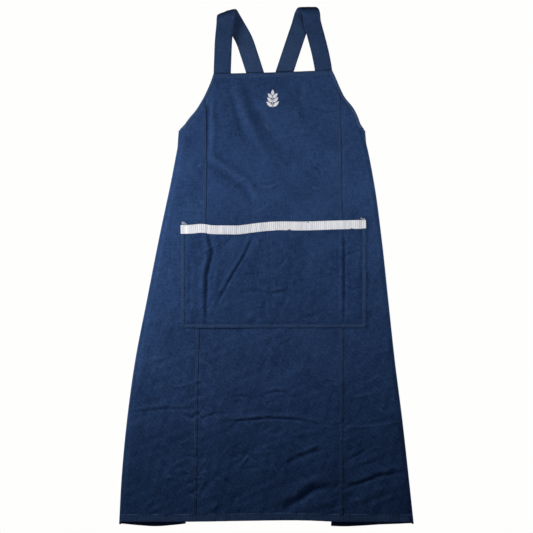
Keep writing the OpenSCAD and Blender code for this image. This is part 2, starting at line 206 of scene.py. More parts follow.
# each fold: points as (across, drop) in mm, half width in mm, height in mm (a valley is negative)
BIB_FOLDS = [
    ([(-138, 40), (-145, 110), (-147, 215)], 5, -2.2),
    ([(-138, 40), (-132, 110), (-134, 215)], 7, 2.0),
    ([(-146, 200), (-110, 228), (-62, 262), (-40, 300)], 9, -3.2),
    ([(-146, 180), (-110, 210), (-55, 245), (-30, 290)], 9, 2.5),
    ([(-62, 20), (-40, 82), (0, 140), (30, 190)], 13, -3.9),
    ([(-98, 20), (-75, 110), (-60, 160)], 8, -2.5),
    ([(-82, 20), (-57, 100), (-30, 160), (0, 210)], 11, 3.0),
    ([(70, 10), (60, 60), (75, 110)], 8, -2.0),
    ([(153, 100), (156, 200), (156, 320)], 4, -1.4),
    ([(40, 240), (90, 225), (150, 190)], 10, -2.0),
]
SKIRT_FOLDS = [
    ([(-325, 765), (-240, 757), (-165, 757)], 2.8, -1.3),
    ([(-325, 758), (-240, 750), (-165, 748)], 6, 1.2),
    ([(-205, 768), (-180, 778), (-165, 770), (-140, 792)], 3, -2.2),
    ([(-208, 758), (-182, 766), (-160, 758), (-138, 778)], 4, 1.8),
    ([(-170, 787), (-150, 775), (-128, 768), (-85, 766)], 3, -1.5),
    ([(-108, 785), (-60, 783), (-5, 778), (58, 781), (106, 791)], 3, -2.6),
    ([(-108, 778), (-60, 776), (-5, 771), (58, 774), (106, 783)], 6, 2.4),
    ([(95, 790), (130, 793), (158, 792)], 3, -1.3),
    ([(160, 797), (200, 798), (245, 793), (290, 786)], 2.5, 1.3),
    ([(160, 790), (200, 790), (245, 785), (290, 778)], 5, -0.9),
    ([(-92, 731), (-70, 727), (-48, 730)], 3, -1.5),
    ([(-20, 724), (10, 718), (42, 721)], 3, -1.5),
    ([(-20, 717), (10, 711), (42, 714)], 5, 1.3),
    ([(-150, 668), (-110, 672), (-60, 660)], 8, -1.1),
    ([(-20, 640), (25, 668), (70, 648), (140, 655)], 10, -1.7),
    ([(22, 985), (60, 962), (92, 938), (140, 928)], 8, -5.0),
    ([(10, 968), (52, 944), (88, 920), (138, 908)], 12, 3.6),
    ([(60, 985), (100, 968), (140, 960)], 12, 1.4),
    ([(160, 934), (200, 922), (240, 906), (305, 896)], 4, -3.2),
    ([(160, 924), (200, 911), (240, 895), (305, 884)], 8, 2.6),
    ([(165, 955), (220, 945), (290, 925)], 10, 1.5),
    ([(24, 884), (55, 868), (95, 852), (130, 846)], 5, -1.9),
    ([(20, 874), (52, 858), (92, 842), (128, 836)], 6, 1.6),
    ([(170, 872), (195, 858), (222, 843)], 4, -1.8),
    ([(185, 882), (215, 872), (250, 858)], 7, 1.3),
    ([(-74, 886), (-54, 864), (-34, 880)], 5, 2.2),
    ([(-82, 882), (-56, 858), (-30, 874)], 4, -1.5),
    ([(-115, 900), (-150, 930), (-170, 965)], 6, -1.5),
    ([(-250, 870), (-215, 900), (-180, 890)], 8, -1.4),
    ([(-245, 905), (-215, 880), (-185, 868)], 5, 1.4),
    ([(-300, 820), (-260, 850), (-240, 900)], 12, -1.2),
]


def small_folds(seed, count, across, drop):
    """Short creases at random in a rectangle, most of them nearly level: a list like the ones above."""
    rng = np.random.default_rng(seed)
    mid = np.stack([rng.uniform(*across, count), rng.uniform(*drop, count)], -1)
    half, turn = rng.uniform(10, 32, count), rng.normal(-0.1, 0.5, count)
    step = np.stack([np.cos(turn), np.sin(turn)], -1) * half[:, None]
    bend = rng.normal(0, 4, (count, 2))
    height = rng.choice((-1, 1), count) * rng.uniform(0.5, 1.6, count)
    width = rng.uniform(3, 6, count)
    return [([m - d, m + b, m + d], w, h) for m, d, b, w, h in zip(mid, step, bend, width, height)]


SMALL_FOLDS = small_folds(4, 90, (-300, 280), (600, 985)) + small_folds(9, 16, (-180, 180), (60, 330))
SEAM_FOLDS = small_folds(14, 26, (-205, -140), (650, 960)) + small_folds(15, 12, (135, 185), (700, 960))


def fade_at_edges(x, z):
    """1 inside the body and 0 at its outline, over 14 mm, so that folds die out at hems and side folds."""
    inside = np.minimum(x - edge_x(-1, z), edge_x(1, z) - x)
    return ease(inside, 1 * MM, 14 * MM) * ease(z, HEM_Z - 8 * MM, HEM_Z + 14 * MM)


def relief(x, z):
    """How far the front cloth stands forward of its flat place: folds, broad swells and crumple."""
    total = (2.2 * MM + 1.1 * MM * crumple(x, z, 210, 3)) * (0.15 + 0.85 * ease(BIB_Z - z, 0, 0.05))
    for points, width, height in BIB_FOLDS + SKIRT_FOLDS + SMALL_FOLDS + SEAM_FOLDS:
        total = total + ridge(x, z, points, width, height)
    low = ease(BIB_Z - z, 0.3, 0.75)
    washed = 0.85 * MM * crumple(x, z, 46, 5) + 0.45 * MM * crumple(x, z, 18, 8)
    total = total + (0.45 + 0.55 * low) * washed
    for s in SIDES:
        near = np.exp(-(((x - seam_x(s, z)) / (7 * MM)) ** 2))
        pucker = np.sin(2 * np.pi * z / (13 * MM) + 2 * s) * crumple(x * 0, z, 45, 12 + s)
        total = total + near * 0.8 * MM * low * pucker
    return total * fade_at_edges(x, z)


HEM_SAG = through_mm(
    (-340, -260, -185, -72, 43, 95, 130, 230, 320),
    (-4, -3.8, -3.6, -2, -0.6, -1.4, -3, -3.8, -4),
)


def settle(x, z):
    """How far a pattern point rises: the bib's top tilts up to the right and the hem sags at its ends."""
    tilt = (0.031 * x + 0.5 * MM - 3 * MM * (1 - (x / 0.133) ** 2) * 0.4) * ease(z, BIB_Z - 0.16, BIB_Z)
    return tilt + HEM_SAG(x) * ease(-z, -(HEM_Z + 0.2), -HEM_Z)


def on_front(x, z, lift=0.0):
    """Point of the front cloth's outer face for pattern point (x, z), raised by lift."""
    x, z = np.broadcast_arrays(np.asarray(x, float), np.asarray(z, float))
    return np.stack([x, FRONT_Y - relief(x, z) - lift, z + settle(x, z)], -1)


probe = relief(*np.meshgrid(np.linspace(-0.3, 0.3, 90), np.linspace(HEM_Z, BIB_Z, 90)))
print(f"relief from {probe.min() / MM:.1f} to {probe.max() / MM:.1f} mm")

# %% [markdown]
# ## Colours and nodes
# Colours are written as sRGB hex, as a dyer's card gives them, and one function turns them linear, which
# is what the shaders work in. One more function adds any node with its settings and links, and the
# short ones after it make the nodes that come up most.


# %% Colour and node helpers
def linear(hex_colour):
    """sRGB hex to linear RGBA, by the standard's two-part curve."""
    c = np.array([int(hex_colour[i : i + 2], 16) for i in (1, 3, 5)]) / 255
    c = np.where(c <= 0.04045, c / 12.92, ((c + 0.055) / 1.055) ** 2.4)
    return (*c.tolist(), 1.0)


def add(tree, kind, inputs=None, **settings):
    """Adds a node; inputs maps a socket's name or number to a value, or to (node, output) to link."""
    node = tree.nodes.new(kind)
    for key, value in settings.items():
        setattr(node, key, value)
    for key, value in (inputs or {}).items():
        if isinstance(value, tuple) and len(value) == 2 and isinstance(value[0], bpy.types.Node):
            tree.links.new(value[0].outputs[value[1]], node.inputs[key])
        else:
            node.inputs[key].default_value = value
    return node


def maths(tree, operation, *values, clamp=False):
    """A Math node on values, each a number or (node, output)."""
    return add(tree, "ShaderNodeMath", dict(enumerate(values)), operation=operation, use_clamp=clamp)


def noise(tree, vector, scale, detail, roughness=0.5):
    """Noise on the given vector."""
    inputs = {"Vector": vector, "Scale": scale, "Detail": detail, "Roughness": roughness}
    return add(tree, "ShaderNodeTexNoise", inputs)


def ramp(tree, value, low, high):
    """0 where value is low, 1 where it is high, straight between them."""
    return add(tree, "ShaderNodeMapRange", {0: value, 1: low, 2: high, 3: 0.0, 4: 1.0})


def mixed(tree, factor, first, second):
    """The first colour where factor is 0, the second where it is 1; read from output 2."""
    return add(tree, "ShaderNodeMix", {"Factor": factor, 6: first, 7: second}, data_type="RGBA")


def bumped(tree, height, strength, distance):
    """A normal tilted by a height."""
    return add(tree, "ShaderNodeBump", {"Height": height, "Strength": strength, "Distance": distance})


def principled(material, out, inputs):
    """Links a Principled shader with these inputs to the output and gives the material back."""
    shader = add(material.node_tree, "ShaderNodeBsdfPrincipled", inputs)
    material.node_tree.links.new(shader.outputs[0], out.inputs[0])
    return material


def new_material(name):
    """An empty node material with its output node."""
    material = bpy.data.materials.new(name)
    material.use_nodes = True
    material.node_tree.nodes.clear()
    return material, material.node_tree, material.node_tree.nodes.new("ShaderNodeOutputMaterial")


print("mid grey, linear:", linear("#808080"))

# %% [markdown]
# ## Woven cotton canvas
# Canvas is a plain weave of thick yarns, about eleven to the centimetre. Vat-dyed navy yarn is dark at
# its heart and paler where washing has rubbed it, so the colour is never even: slubs give short streaks
# along both yarn directions, and rubbed edges go pale blue. The cloth has its own UV map in metres, so
# the weave follows a strap over the shoulder and a panel round its fold. Over and under yarns come from
# two sines swapped by a checker, which is how a plain weave is drawn on point paper.

# %% The canvas material
YARN = 0.9 * MM
SLUBS = ((420, 45, 1), (45, 420, 1))  # waves to the metre, short across a yarn and long along it
CREASE_SHADE = "#0f2140"  # painted shade: the dark colour the cloth is darkened towards where its attribute is below 0


def canvas(name, deep, pale, worn):
    """Plain weave: colour by slubs, mottling and the attribute, paler above 0 by wear and painted highlight
    and darker below 0 by painted shade; bump by yarns.
    """
    material, tree, out = new_material(name)
    uv = add(tree, "ShaderNodeUVMap", uv_map="cloth")
    yarns = add(tree, "ShaderNodeMapping", {"Vector": (uv, 0), "Scale": (1 / YARN, 1 / YARN, 1)})
    split = add(tree, "ShaderNodeSeparateXYZ", {0: (yarns, 0)})
    turns = [maths(tree, "MULTIPLY", (split, k), np.pi) for k in (0, 1)]
    warp, weft = [maths(tree, "ABSOLUTE", (maths(tree, "SINE", (turn, 0)), 0)) for turn in turns]
    over = add(tree, "ShaderNodeTexChecker", {"Vector": (yarns, 0), "Scale": 1.0})
    weave = add(tree, "ShaderNodeMix", {"Factor": (over, "Fac"), 2: (warp, 0), 3: (weft, 0)})
    streaks = [add(tree, "ShaderNodeMapping", {"Vector": (uv, 0), "Scale": scale}) for scale in SLUBS]
    slubs = [noise(tree, (streak, 0), 1.0, 3.0) for streak in streaks]
    slub = maths(tree, "ADD", (slubs[0], 0), (slubs[1], 0))
    mottle = noise(tree, (uv, 0), 150.0, 5.0, 0.7)
    wash = noise(tree, (uv, 0), 16.0, 3.0)
    tone = maths(tree, "MULTIPLY", (mottle, 0), 0.5)
    tone = maths(tree, "MULTIPLY_ADD", (wash, 0), 0.45, (tone, 0))
    tone = maths(tree, "MULTIPLY_ADD", (slub, 0), 0.55, (tone, 0))
    dye = mixed(tree, (ramp(tree, (tone, 0), 0.83, 1.22), 0), linear(deep), linear(pale))
    # the attribute holds real wear and painted light together: above 0 it pales the colour, by wear and by
    # painted highlight
    rub_and_shade = add(tree, "ShaderNodeAttribute", attribute_name="worn")
    paler_by_wear_and_highlight = maths(tree, "MULTIPLY", (rub_and_shade, "Fac"), (mottle, 0))
    paler_by_wear_and_highlight = maths(tree, "MULTIPLY", (paler_by_wear_and_highlight, 0), 1.5, clamp=True)
    colour = mixed(tree, (paler_by_wear_and_highlight, 0), (dye, 2), linear(worn))
    # painted shade: below 0 the colour is darkened towards the crease shade colour
    painted_shade = maths(tree, "MULTIPLY", (rub_and_shade, "Fac"), -1.0, clamp=True)
    colour = mixed(tree, (painted_shade, 0), (colour, 2), linear(CREASE_SHADE))
    height = maths(tree, "MULTIPLY_ADD", (mottle, 0), 0.9, (weave, 0))
    return principled(material, out, {
        "Base Color": (colour, 2), "Normal": (bumped(tree, (height, 0), 0.6, 0.4 * MM), 0),
        "Roughness": 0.9, "Specular IOR Level": 0.08,
        "Sheen Weight": 0.04, "Sheen Roughness": 0.5, "Sheen Tint": linear("#7f9bd0"),
    })


BODY_CANVAS = canvas("woven_cotton_canvas_body", "#20365b", "#324d79", "#4f6993")
STRAP_CANVAS = canvas("woven_cotton_canvas_straps", "#25395a", "#364e74", "#536a90")
HEM_CANVAS = canvas("woven_cotton_canvas_hems", "#24395f", "#375279", "#5a7299")
print("canvas materials:", BODY_CANVAS.name, STRAP_CANVAS.name, HEM_CANVAS.name)

# %% [markdown]
# ## Thread, tape and ink
# Sewing thread is a tight three-ply twist with a little shine. The pocket's tape is grosgrain: thick
# weft cords packed by a fine warp, so it shows crisp ribs across its length. The mark on the chest is
# opaque screen ink, which sits in the weave as a thin matte film.

# %% Thread, tape and ink materials
RIB = 4.4 * MM  # a real cord is nearer 1.5 mm, which is too fine to show from where the camera stands


def thread(name, colour):
    """Twisted thread: a fine slanted wave on the thread's own UV shades the plies."""
    material, tree, out = new_material(name)
    uv = add(tree, "ShaderNodeUVMap", uv_map="cloth")
    slant = {"Vector": (uv, 0), "Rotation": (0, 0, 0.7), "Scale": (1 / MM, 1 / MM, 1)}
    twist = add(tree, "ShaderNodeMapping", slant)
    plies = add(tree, "ShaderNodeTexWave", {"Vector": (twist, 0), "Scale": 0.8})
    return principled(material, out, {
        "Base Color": linear(colour), "Normal": (bumped(tree, (plies, "Fac"), 0.4, 0.1 * MM), 0),
        "Roughness": 0.55, "Specular IOR Level": 0.35,
    })


def grosgrain(name, low, high):
    """Ribbed tape: sine ribs across its length, in bump and in painted shade between them, uneven by noise,
    painted lighter by its attribute.
    """
    material, tree, out = new_material(name)
    uv = add(tree, "ShaderNodeUVMap", uv_map="cloth")
    split = add(tree, "ShaderNodeSeparateXYZ", {0: (uv, 0)})
    turns = maths(tree, "MULTIPLY", (split, 1), 2 * np.pi / RIB)
    ribs = ramp(tree, (maths(tree, "SINE", (turns, 0)), 0), -1.0, 0.4)
    cords = add(tree, "ShaderNodeMapping", {"Vector": (uv, 0), "Scale": (60, 520, 1)})
    fuzz = noise(tree, (cords, 0), 1.0, 4.0, 0.7)
    # painted shade: the colour is darker between the ribs, unevenly by noise
    shade = maths(tree, "MULTIPLY", (ribs, 0), (fuzz, 0))
    painted_light_ramp = add(tree, "ShaderNodeAttribute", attribute_name="worn")
    shade = maths(tree, "ADD", (shade, 0), (painted_light_ramp, "Fac"))
    colour = mixed(tree, (ramp(tree, (shade, 0), 0.0, 0.5), 0), linear(low), linear(high))
    return principled(material, out, {
        "Base Color": (colour, 2), "Normal": (bumped(tree, (ribs, 0), 0.5, 0.25 * MM), 0), "Roughness": 0.75,
        "Specular IOR Level": 0.2, "Sheen Weight": 0.1, "Sheen Roughness": 0.5,
    })


def ink(name, colour):
    """Screen ink: one flat colour, broken very slightly where yarns show through."""
    material, tree, out = new_material(name)
    uv = add(tree, "ShaderNodeUVMap", uv_map="cloth")
    gaps = ramp(tree, (noise(tree, (uv, 0), 700.0, 4.0), 0), 0.36, 0.5)
    tone = mixed(tree, (gaps, 0), linear("#b9bcc6"), linear(colour))
    return principled(material, out, {
        "Base Color": (tone, 2), "Normal": (bumped(tree, (gaps, 0), 0.3, 0.1 * MM), 0), "Roughness": 0.6,
        "Specular IOR Level": 0.4,
    })


THREAD = thread("twisted_polyester_thread_navy", "#1a2c4c")
WHITE_THREAD = thread("twisted_cotton_thread_white", "#e4e4e8")
# the first colour is the painted shade between the ribs, the second the tape's white
TAPE = grosgrain("grosgrain_cotton_tape_white", "#c3c4ce", "#fafafb")
INK = ink("screen_ink_white", "#f1f1f3")
print("thread, tape and ink ready")

# %% [markdown]
# ## From grids to meshes
# A piece of cloth is a grid of points P(i, j) with a UV for each. Neighbouring points make quads, and
# foreach_set writes all of them in one go. Solidify then gives cloth its thickness, inwards from the
# face that was computed, so that the face stays where it was put.


# %% Grid to mesh
def piece(name, verts, quads, uv, material, body, slot, worn=None):
    mesh = bpy.data.meshes.new(name)
    mesh.vertices.add(len(verts))
    mesh.vertices.foreach_set("co", np.asarray(verts, np.float32).ravel())
    mesh.loops.add(quads.size)
    mesh.loops.foreach_set("vertex_index", quads.astype(np.int32).ravel())
    mesh.polygons.add(len(quads))
    mesh.polygons.foreach_set("loop_start", np.arange(0, quads.size, 4, dtype=np.int32))
    mesh.update(calc_edges=True)
    layer = mesh.uv_layers.new(name="cloth")
    layer.data.foreach_set("uv", np.asarray(uv, np.float32)[quads.ravel()].ravel())
    shade = mesh.attributes.new("worn", "FLOAT", "POINT")
    worn = np.zeros(len(verts)) if worn is None else worn
    shade.data.foreach_set("value", worn.astype(np.float32).ravel())
    mesh.polygons.foreach_set("use_smooth", np.full(len(quads), True))
    mesh.materials.append(material)
    obj = bpy.data.objects.new(name, mesh)
    bpy.context.scene.collection.objects.link(obj)
    if isinstance(body, str):
        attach(obj, body)
    else:
        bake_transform(obj)
    return obj


def grid_quads(m, n, flip=False, wrap=False):
    """Vertex numbers of the quads of an m by n grid; wrap closes it round its second direction."""
    i = np.arange(m - 1)[:, None]
    j = np.arange(n if wrap else n - 1)[None, :]
    k = (j + 1) % n
    round_quad = np.broadcast_arrays(i * n + j, (i + 1) * n + j, (i + 1) * n + k, i * n + k)
    q = np.stack(round_quad, -1).reshape(-1, 4)
    return q[:, ::-1] if flip else q


def tube_quads(m, n, flip=False):
    """Quads of a tube of m rings of n points, with strips of quads across both ends."""
    i = np.arange(n // 2 - 1)
    cap = np.stack([i, i + 1, n - 2 - i, n - 1 - i], -1)
    q = np.concatenate([grid_quads(m, n, wrap=True), cap, cap[:, ::-1] + (m - 1) * n])
    return q[:, ::-1] if flip else q


def merged(parts):
    """Several (verts, quads, uv) as one."""
    verts, quads, uvs, n = [], [], [], 0
    for v, q, uv in parts:
        verts.append(v)
        quads.append(q + n)
        uvs.append(uv)
        n += len(v)
    return np.concatenate(verts), np.concatenate(quads), np.concatenate(uvs)


def cloth_area(points):
    """Area of a grid of points: half the cross product of each quad's diagonals, summed."""
    a = points[1:, 1:] - points[:-1, :-1]
    b = points[1:, :-1] - points[:-1, 1:]
    return float(np.linalg.norm(np.cross(a, b), axis=-1).sum() / 2)


def thicken(obj, thick):
    """Solidify that grows inwards from the face that was made."""
    solid = obj.modifiers.new("thickness", "SOLIDIFY")
    solid.thickness, solid.offset = thick, -1


def cloth(name, points, uv, body, worn, flip=False):
    """A sheet of body canvas: a grid of outer-face points, made one layer thick."""
    m, n = points.shape[:2]
    quads = grid_quads(m, n, flip)
    obj = piece(name, points.reshape(-1, 3), quads, uv.reshape(-1, 2), BODY_CANVAS, body, "navy_canvas", worn)
    thicken(obj, CLOTH)
    print(f"{name}: {m} by {n} points, {cloth_area(points):.4f} m2")
    return obj


print("quads of a 3 by 3 grid:", grid_quads(3, 3).tolist())

# %% [markdown]
# ## The three front panels
# The bib and skirt are cut in three: a long centre panel, and side panels that carry on round the fold
# to the back. A panel is a grid whose rows are level lines of the pattern, stretched between its left
# and right edges, then laid on the front by the one function above. Each side panel's outer edge turns
# a little way into the fold, so that no gap can open beside the moving flap.

# %% Make the front panels
STEP = 2.8 * MM  # between neighbouring grid points
FOLD_R = 4.9 * MM  # the side fold's radius at its outer face


def rows(top, foot, step=STEP):
    """Level lines from foot up to top, evenly spaced near step."""
    return np.linspace(foot, top, int(round((top - foot) / step)) + 1)


# where a felled seam's band and the painted shade line beside it lie, across from the seam line
BAND_AT = {-1: -4.5 * MM, 1: -3.7 * MM}
SEAM_SHADE_AT = {-1: -0.3 * MM, 1: 0.6 * MM}


def wear_and_seam_shade(x, z):
    """Rubbing near the outline, and below 0 a line of painted shade beside each seam, where the seam band's
    shadow falls.
    """
    inside = np.minimum(x - edge_x(-1, z), edge_x(1, z) - x)
    edge = np.exp(-(inside / (3.5 * MM)) ** 2)
    beside = sum(np.exp(-(((x - seam_x(s, z) - SEAM_SHADE_AT[s]) / (2.0 * MM)) ** 2)) for s in SIDES)
    return 0.35 * edge - 0.12 * beside


def hollow(height, x, z, reach=4 * MM):
    """How much a point stands above the mean of its neighbours at reach, in mm, for a height function."""
    around = height(x + reach, z) + height(x - reach, z) + height(x, z + reach) + height(x, z - reach)
    return (height(x, z) - around / 4) / MM


def wear_and_painted_fold_light(x, z):
    """Edge wear and painted seam shade, plus painted light from the folds: ridges painted paler as highlight
    and valleys painted darker as shade.
    """
    return wear_and_seam_shade(x, z) + np.clip(0.55 * hollow(relief, x, z), -0.5, 0.4)


def front_panel(left, right, top, foot):
    """Pattern x and z of a grid between the edge functions left(z) and right(z)."""
    z = rows(top, foot)[None, :]
    across = max(8, int(round(np.max(right(z) - left(z)) / STEP)))
    t = np.linspace(0, 1, across + 1)[:, None]
    return left(z) * (1 - t) + right(z) * t, np.broadcast_to(z, (across + 1, z.shape[1]))


def centre_edge(s):
    """The centre panel's edge: the seam, or the armhole where that is nearer."""
    return lambda z: s * np.minimum(np.abs(seam_x(s, z)), np.abs(edge_x(s, z)))


def fold_line(s, z):
    """Signed X where a side panel starts to turn: the outline, less the fold's radius below the underarm."""
    return edge_x(s, z) - s * FOLD_R * ease(-z, -SIDE_Z, -SIDE_Z + 0.02)


x, z = front_panel(centre_edge(-1), centre_edge(1), BIB_Z - 0.5 * MM, HEM_Z + 0.5 * MM)
points, uv = on_front(x, z), np.stack([x, z], -1)
centre = cloth("centre_front_cloth", points, uv, "apron", wear_and_painted_fold_light(x, z))
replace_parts(centre, "centre_front_panel")


def seam_top(s, beyond=0.0):
    """Height where the seam, moved outwards by beyond, meets the armhole, from a fine scale of heights."""
    z = np.linspace(SIDE_Z, BIB_Z, 2000)
    return float(z[np.argmin(np.abs(np.abs(seam_x(s, z)) + beyond - np.abs(edge_x(s, z))))])


def joined(s, flat, arc):
    """A panel's grid and its turned edge as one grid, from left to right."""
    return np.concatenate([arc[::-1], flat] if s < 0 else [flat, arc])


turns = np.linspace(8, 64, 6)[:, None] * np.pi / 180
for s, side in SIDES.items():
    fold, seam = (lambda z: fold_line(s, z)), (lambda z: seam_x(s, z))
    left, right = (fold, seam) if s < 0 else (seam, fold)
    x, z = front_panel(left, right, seam_top(s) - 2 * MM, HEM_Z + 0.5 * MM)
    points, uv = on_front(x, z), np.stack([x, z], -1)
    last = 0 if s < 0 else -1
    start = points[last][None]
    below = ease(-start[..., 2], -SIDE_Z - 0.02, -SIDE_Z + 0.01)[..., None]
    level = 0 * z[:1]
    turned = np.stack([s * np.sin(turns) + level, 1 - np.cos(turns) + level, 0 * turns + level], -1)
    arc = start + turned * (FOLD_R - 0.3 * MM) * below
    arc_uv = uv[last][None] + np.stack([s * FOLD_R * turns + level, 0 * turns + level], -1)
    rub_and_shade = wear_and_painted_fold_light(x, z)
    worn = joined(s, rub_and_shade, np.broadcast_to(rub_and_shade[last] * 0.6, (len(turns), z.shape[1])))
    points, uv = joined(s, points, arc), joined(s, uv, arc_uv)
    panel = cloth(f"{side}_front_cloth", points, uv, "apron", worn)
    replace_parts(panel, f"{side}_front_panel")

# %% [markdown]
# ## Bands
# A hem, a felled seam, a tape and a strap are all one shape: a long band with a rounded section. Carried
# along a path, the section needs three directions at each point: along, across and out. A hem that was
# sewn under tension ropes, so a small slanted ripple runs along it.


# %% Band along a path
def unit(v):
    """v scaled to length one along its last axis."""
    return v / np.maximum(np.linalg.norm(v, axis=-1, keepdims=True), 1e-12)


def square(v, along):
    """v made square to along, with length one."""
    return unit(v - (v * along).sum(-1, keepdims=True) * along)


def lengths(path):
    """Distance along a path of points, from its start."""
    return np.concatenate([[0], np.cumsum(np.linalg.norm(np.diff(path, axis=0), axis=1))])


SECTION = 20  # points round a band's section


def band(
    name, path, across, width, thick, material, body, slot,
    worn=0.5, rope=0.0, bow=0.0, ribs=0.0, tuck=0.0, tone=0.0,
):
    """Closed band with section (w/2 * c^0.35, t/2 * s^0.7), c and s the cosine and sine round it.

    Its outer face looks along across x along. rope raises that face in a slanted ripple, and ribs in
    waves RIB long. bow lifts the section's middle and tuck its far edge, each by its value at a point of
    the path. The wear amount rubs the band's edges paler, and tone is painted light and shade along its
    length. A deep enough ripple is painted as well: its crests rubbed paler and its troughs painted darker.
    """
    along = unit(np.gradient(path, axis=0))
    across = square(np.asarray(across, float), along)
    out = np.cross(across, along)
    a = np.linspace(0, 2 * np.pi, SECTION, endpoint=False)
    u = np.sign(np.cos(a)) * np.abs(np.cos(a)) ** 0.35
    v = np.sign(np.sin(a)) * np.abs(np.sin(a)) ** 0.7
    s = lengths(path)[:, None]
    bow, tuck, tone = (np.reshape(value, (-1, 1)) for value in (bow, tuck, tone))
    slanted = np.sin(2 * np.pi * (s + u * width * 0.5) / (7.5 * MM))
    ripple = rope * slanted * (0.6 + 0.4 * np.sin(s / (19 * MM)))
    raised = np.where(v > 0.3, ripple + ribs * np.cos(2 * np.pi * s / RIB), 0)
    high = v * thick / 2 + raised + bow * (1 - u * u) + tuck * np.clip(u, 0, 1) ** 3
    around = u * width / 2 + 0 * s
    verts = path[:, None] + across[:, None] * around[..., None] + out[:, None] * high[..., None]
    uv = np.stack([around, s + 0 * u], -1).reshape(-1, 2)
    rub_and_shade = worn * (0.25 + 0.75 * np.abs(u) ** 6) + tone + 0 * s
    # painted highlight and shade: the rope ripple's crests are rubbed paler and its troughs painted darker
    if rope > 0.1 * MM:
        rub_and_shade = rub_and_shade + 0.24 * ripple / rope
    quads = tube_quads(len(path), SECTION)
    return piece(name, verts.reshape(-1, 3), quads, uv, material, body, slot, rub_and_shade)


def sampled(at, s, values):
    """Three-part values given at distances s, read at distances at."""
    return np.stack([np.interp(at, s, values[:, k]) for k in range(3)], -1)


def resample(path, step):
    """The same path with its points step apart."""
    s = lengths(path)
    at = np.linspace(0, s[-1], max(3, int(round(s[-1] / step)) + 1))
    return sampled(at, s, path)


print("points on a 5 m path in steps of 1 m:", len(resample(np.array([[0, 0, 0], [3, 4, 0.0]]), 1.0)))

# %% [markdown]
# ## Hems, armholes and felled seams
# The bib's top and the hem are folded twice and sewn, so they are three cloths thick. The armholes have
# a narrow hem. In a felled seam both raw edges are folded in and stitched flat, which leaves a low ridge.

# %% Hem bands on the front
DOWN = (0, 0, -1)


def front_band(name, x, z, across, width, thick, lift, worn, rope, node):
    """A band that lies on the front along pattern points (x, z); thick, lift and rope are in mm."""
    path = resample(on_front(x, z, lift * MM), 2.2 * MM)
    look = HEM_CANVAS, "apron", "hem_canvas"
    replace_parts(band(name, path, across, width, thick * MM, *look, worn, rope * MM), node)


t = np.linspace(0, 1, 120)
x = CORNER[-1] + (CORNER[1] - CORNER[-1]) * t
z = BIB_Z - BIB_HEM_H / 2 + 0 * t
front_band("bib_hem_band", x, z, DOWN, BIB_HEM_H, 2.4, -0.45, 0.25, 0.12, "bib_hem")
z = HEM_Z + HEM_H / 2 + 0 * t
x = edge_x(-1, z) + (edge_x(1, z) - edge_x(-1, z)) * (0.006 + 0.988 * t)
front_band("front_hem_band", x, z, DOWN, HEM_H, 2.4, -0.35, 0.95, 0.32, "front_hem")
for s, side in SIDES.items():
    z = np.linspace(BIB_Z - 1 * MM, SIDE_Z + 1 * MM, 120)
    x = edge_x(s, z) - s * 3.2 * MM
    name, node = f"{side}_armhole_band", f"{side}_armhole_hem"
    front_band(name, x, z, (-1, 0, 0.5 * s), 6.5 * MM, 2.1, 0.1, 1.2, 0.4, node)
    top = seam_top(s, max(0, s * BAND_AT[s]) + 1 * MM) - 7 * MM
    z = np.linspace(top, HEM_Z + HEM_H - 1 * MM, 300)
    name, node = f"{side}_seam_band", f"{side}_panel_seam"
    front_band(name, seam_x(s, z) + BAND_AT[s], z, (-1, 0, 0), 7 * MM, 2.0, -0.4, 0.16, 0.2, node)
print("front bands made")

# %% [markdown]
# ## Stitches
# Lockstitch shows as a row of short raised beads, about three to the centimetre on workwear. Each stitch
# is one small spindle: a six-sided ring swept over half a wave, so its ends dive into the cloth. All the
# stitches of a row are placed at once by adding the template to every place on the row.

# %% Rows of stitches
ROW_STEP = 1.6 * MM  # between the points of a row's path, less than half a stitch
RINGS, SPOKES = 5, 6
ring_t = np.linspace(0, 1, RINGS)[:, None]
spoke_a = np.linspace(0, 2 * np.pi, SPOKES, endpoint=False)
fat = 0.35 + 0.65 * np.sin(np.pi * ring_t)
spindle = np.broadcast_arrays(ring_t - 0.5, fat * np.cos(spoke_a), fat * np.sin(spoke_a))
SPINDLE = np.stack(spindle, -1).reshape(-1, 3)
DIVE = (np.sin(np.pi * ring_t) + 0 * spoke_a).ravel()


def stitch_parts(path, out, length=2.7, gap=0.8, width=0.45, rise=0.35):
    """Verts, quads and UVs of a row of spindles along path; sizes in mm, out is the way out of the cloth."""
    s = lengths(path)
    count = max(1, int(s[-1] / ((length + gap) * MM)))
    at = (np.arange(count) + 0.5) * s[-1] / count
    centre = sampled(at, s, path)
    along = unit(sampled(at, s, np.gradient(path, axis=0)))
    out = square(sampled(at, s, np.broadcast_to(np.asarray(out, float), path.shape)), along)
    across = np.cross(out, along)
    t = SPINDLE
    verts = centre[:, None] + along[:, None] * (t[:, :1] * length * MM)
    verts = verts + across[:, None] * (t[:, 1:2] * width * MM)
    verts = verts + out[:, None] * ((t[:, 2] * 0.7 * width + rise * (DIVE - 0.55)) * MM)[:, None]
    base = tube_quads(RINGS, SPOKES, flip=True)
    quads = (base[None] + (np.arange(count) * len(t))[:, None, None]).reshape(-1, 4)
    uv = np.broadcast_to((t[:, :2] * [length * MM, width * MM])[None], (count, len(t), 2)).reshape(-1, 2)
    return verts.reshape(-1, 3), quads, uv


def stitches(name, rows_of, body, material=THREAD, slot="navy_thread", **sizes):
    """One object holding several rows, each (path, out)."""
    verts, quads, uv = merged(stitch_parts(path, out, **sizes) for path, out in rows_of)
    print(f"{name}: {len(verts) // (RINGS * SPOKES)} stitches")
    return piece(name, verts, quads, uv, material, body, slot)


def front_row(x, z, lift=0.0, face=-1):
    """A row's path on the front, close enough to follow the folds; face 1 is the inner face."""
    return resample(on_front(x, z, lift), ROW_STEP), (0, face, 0)


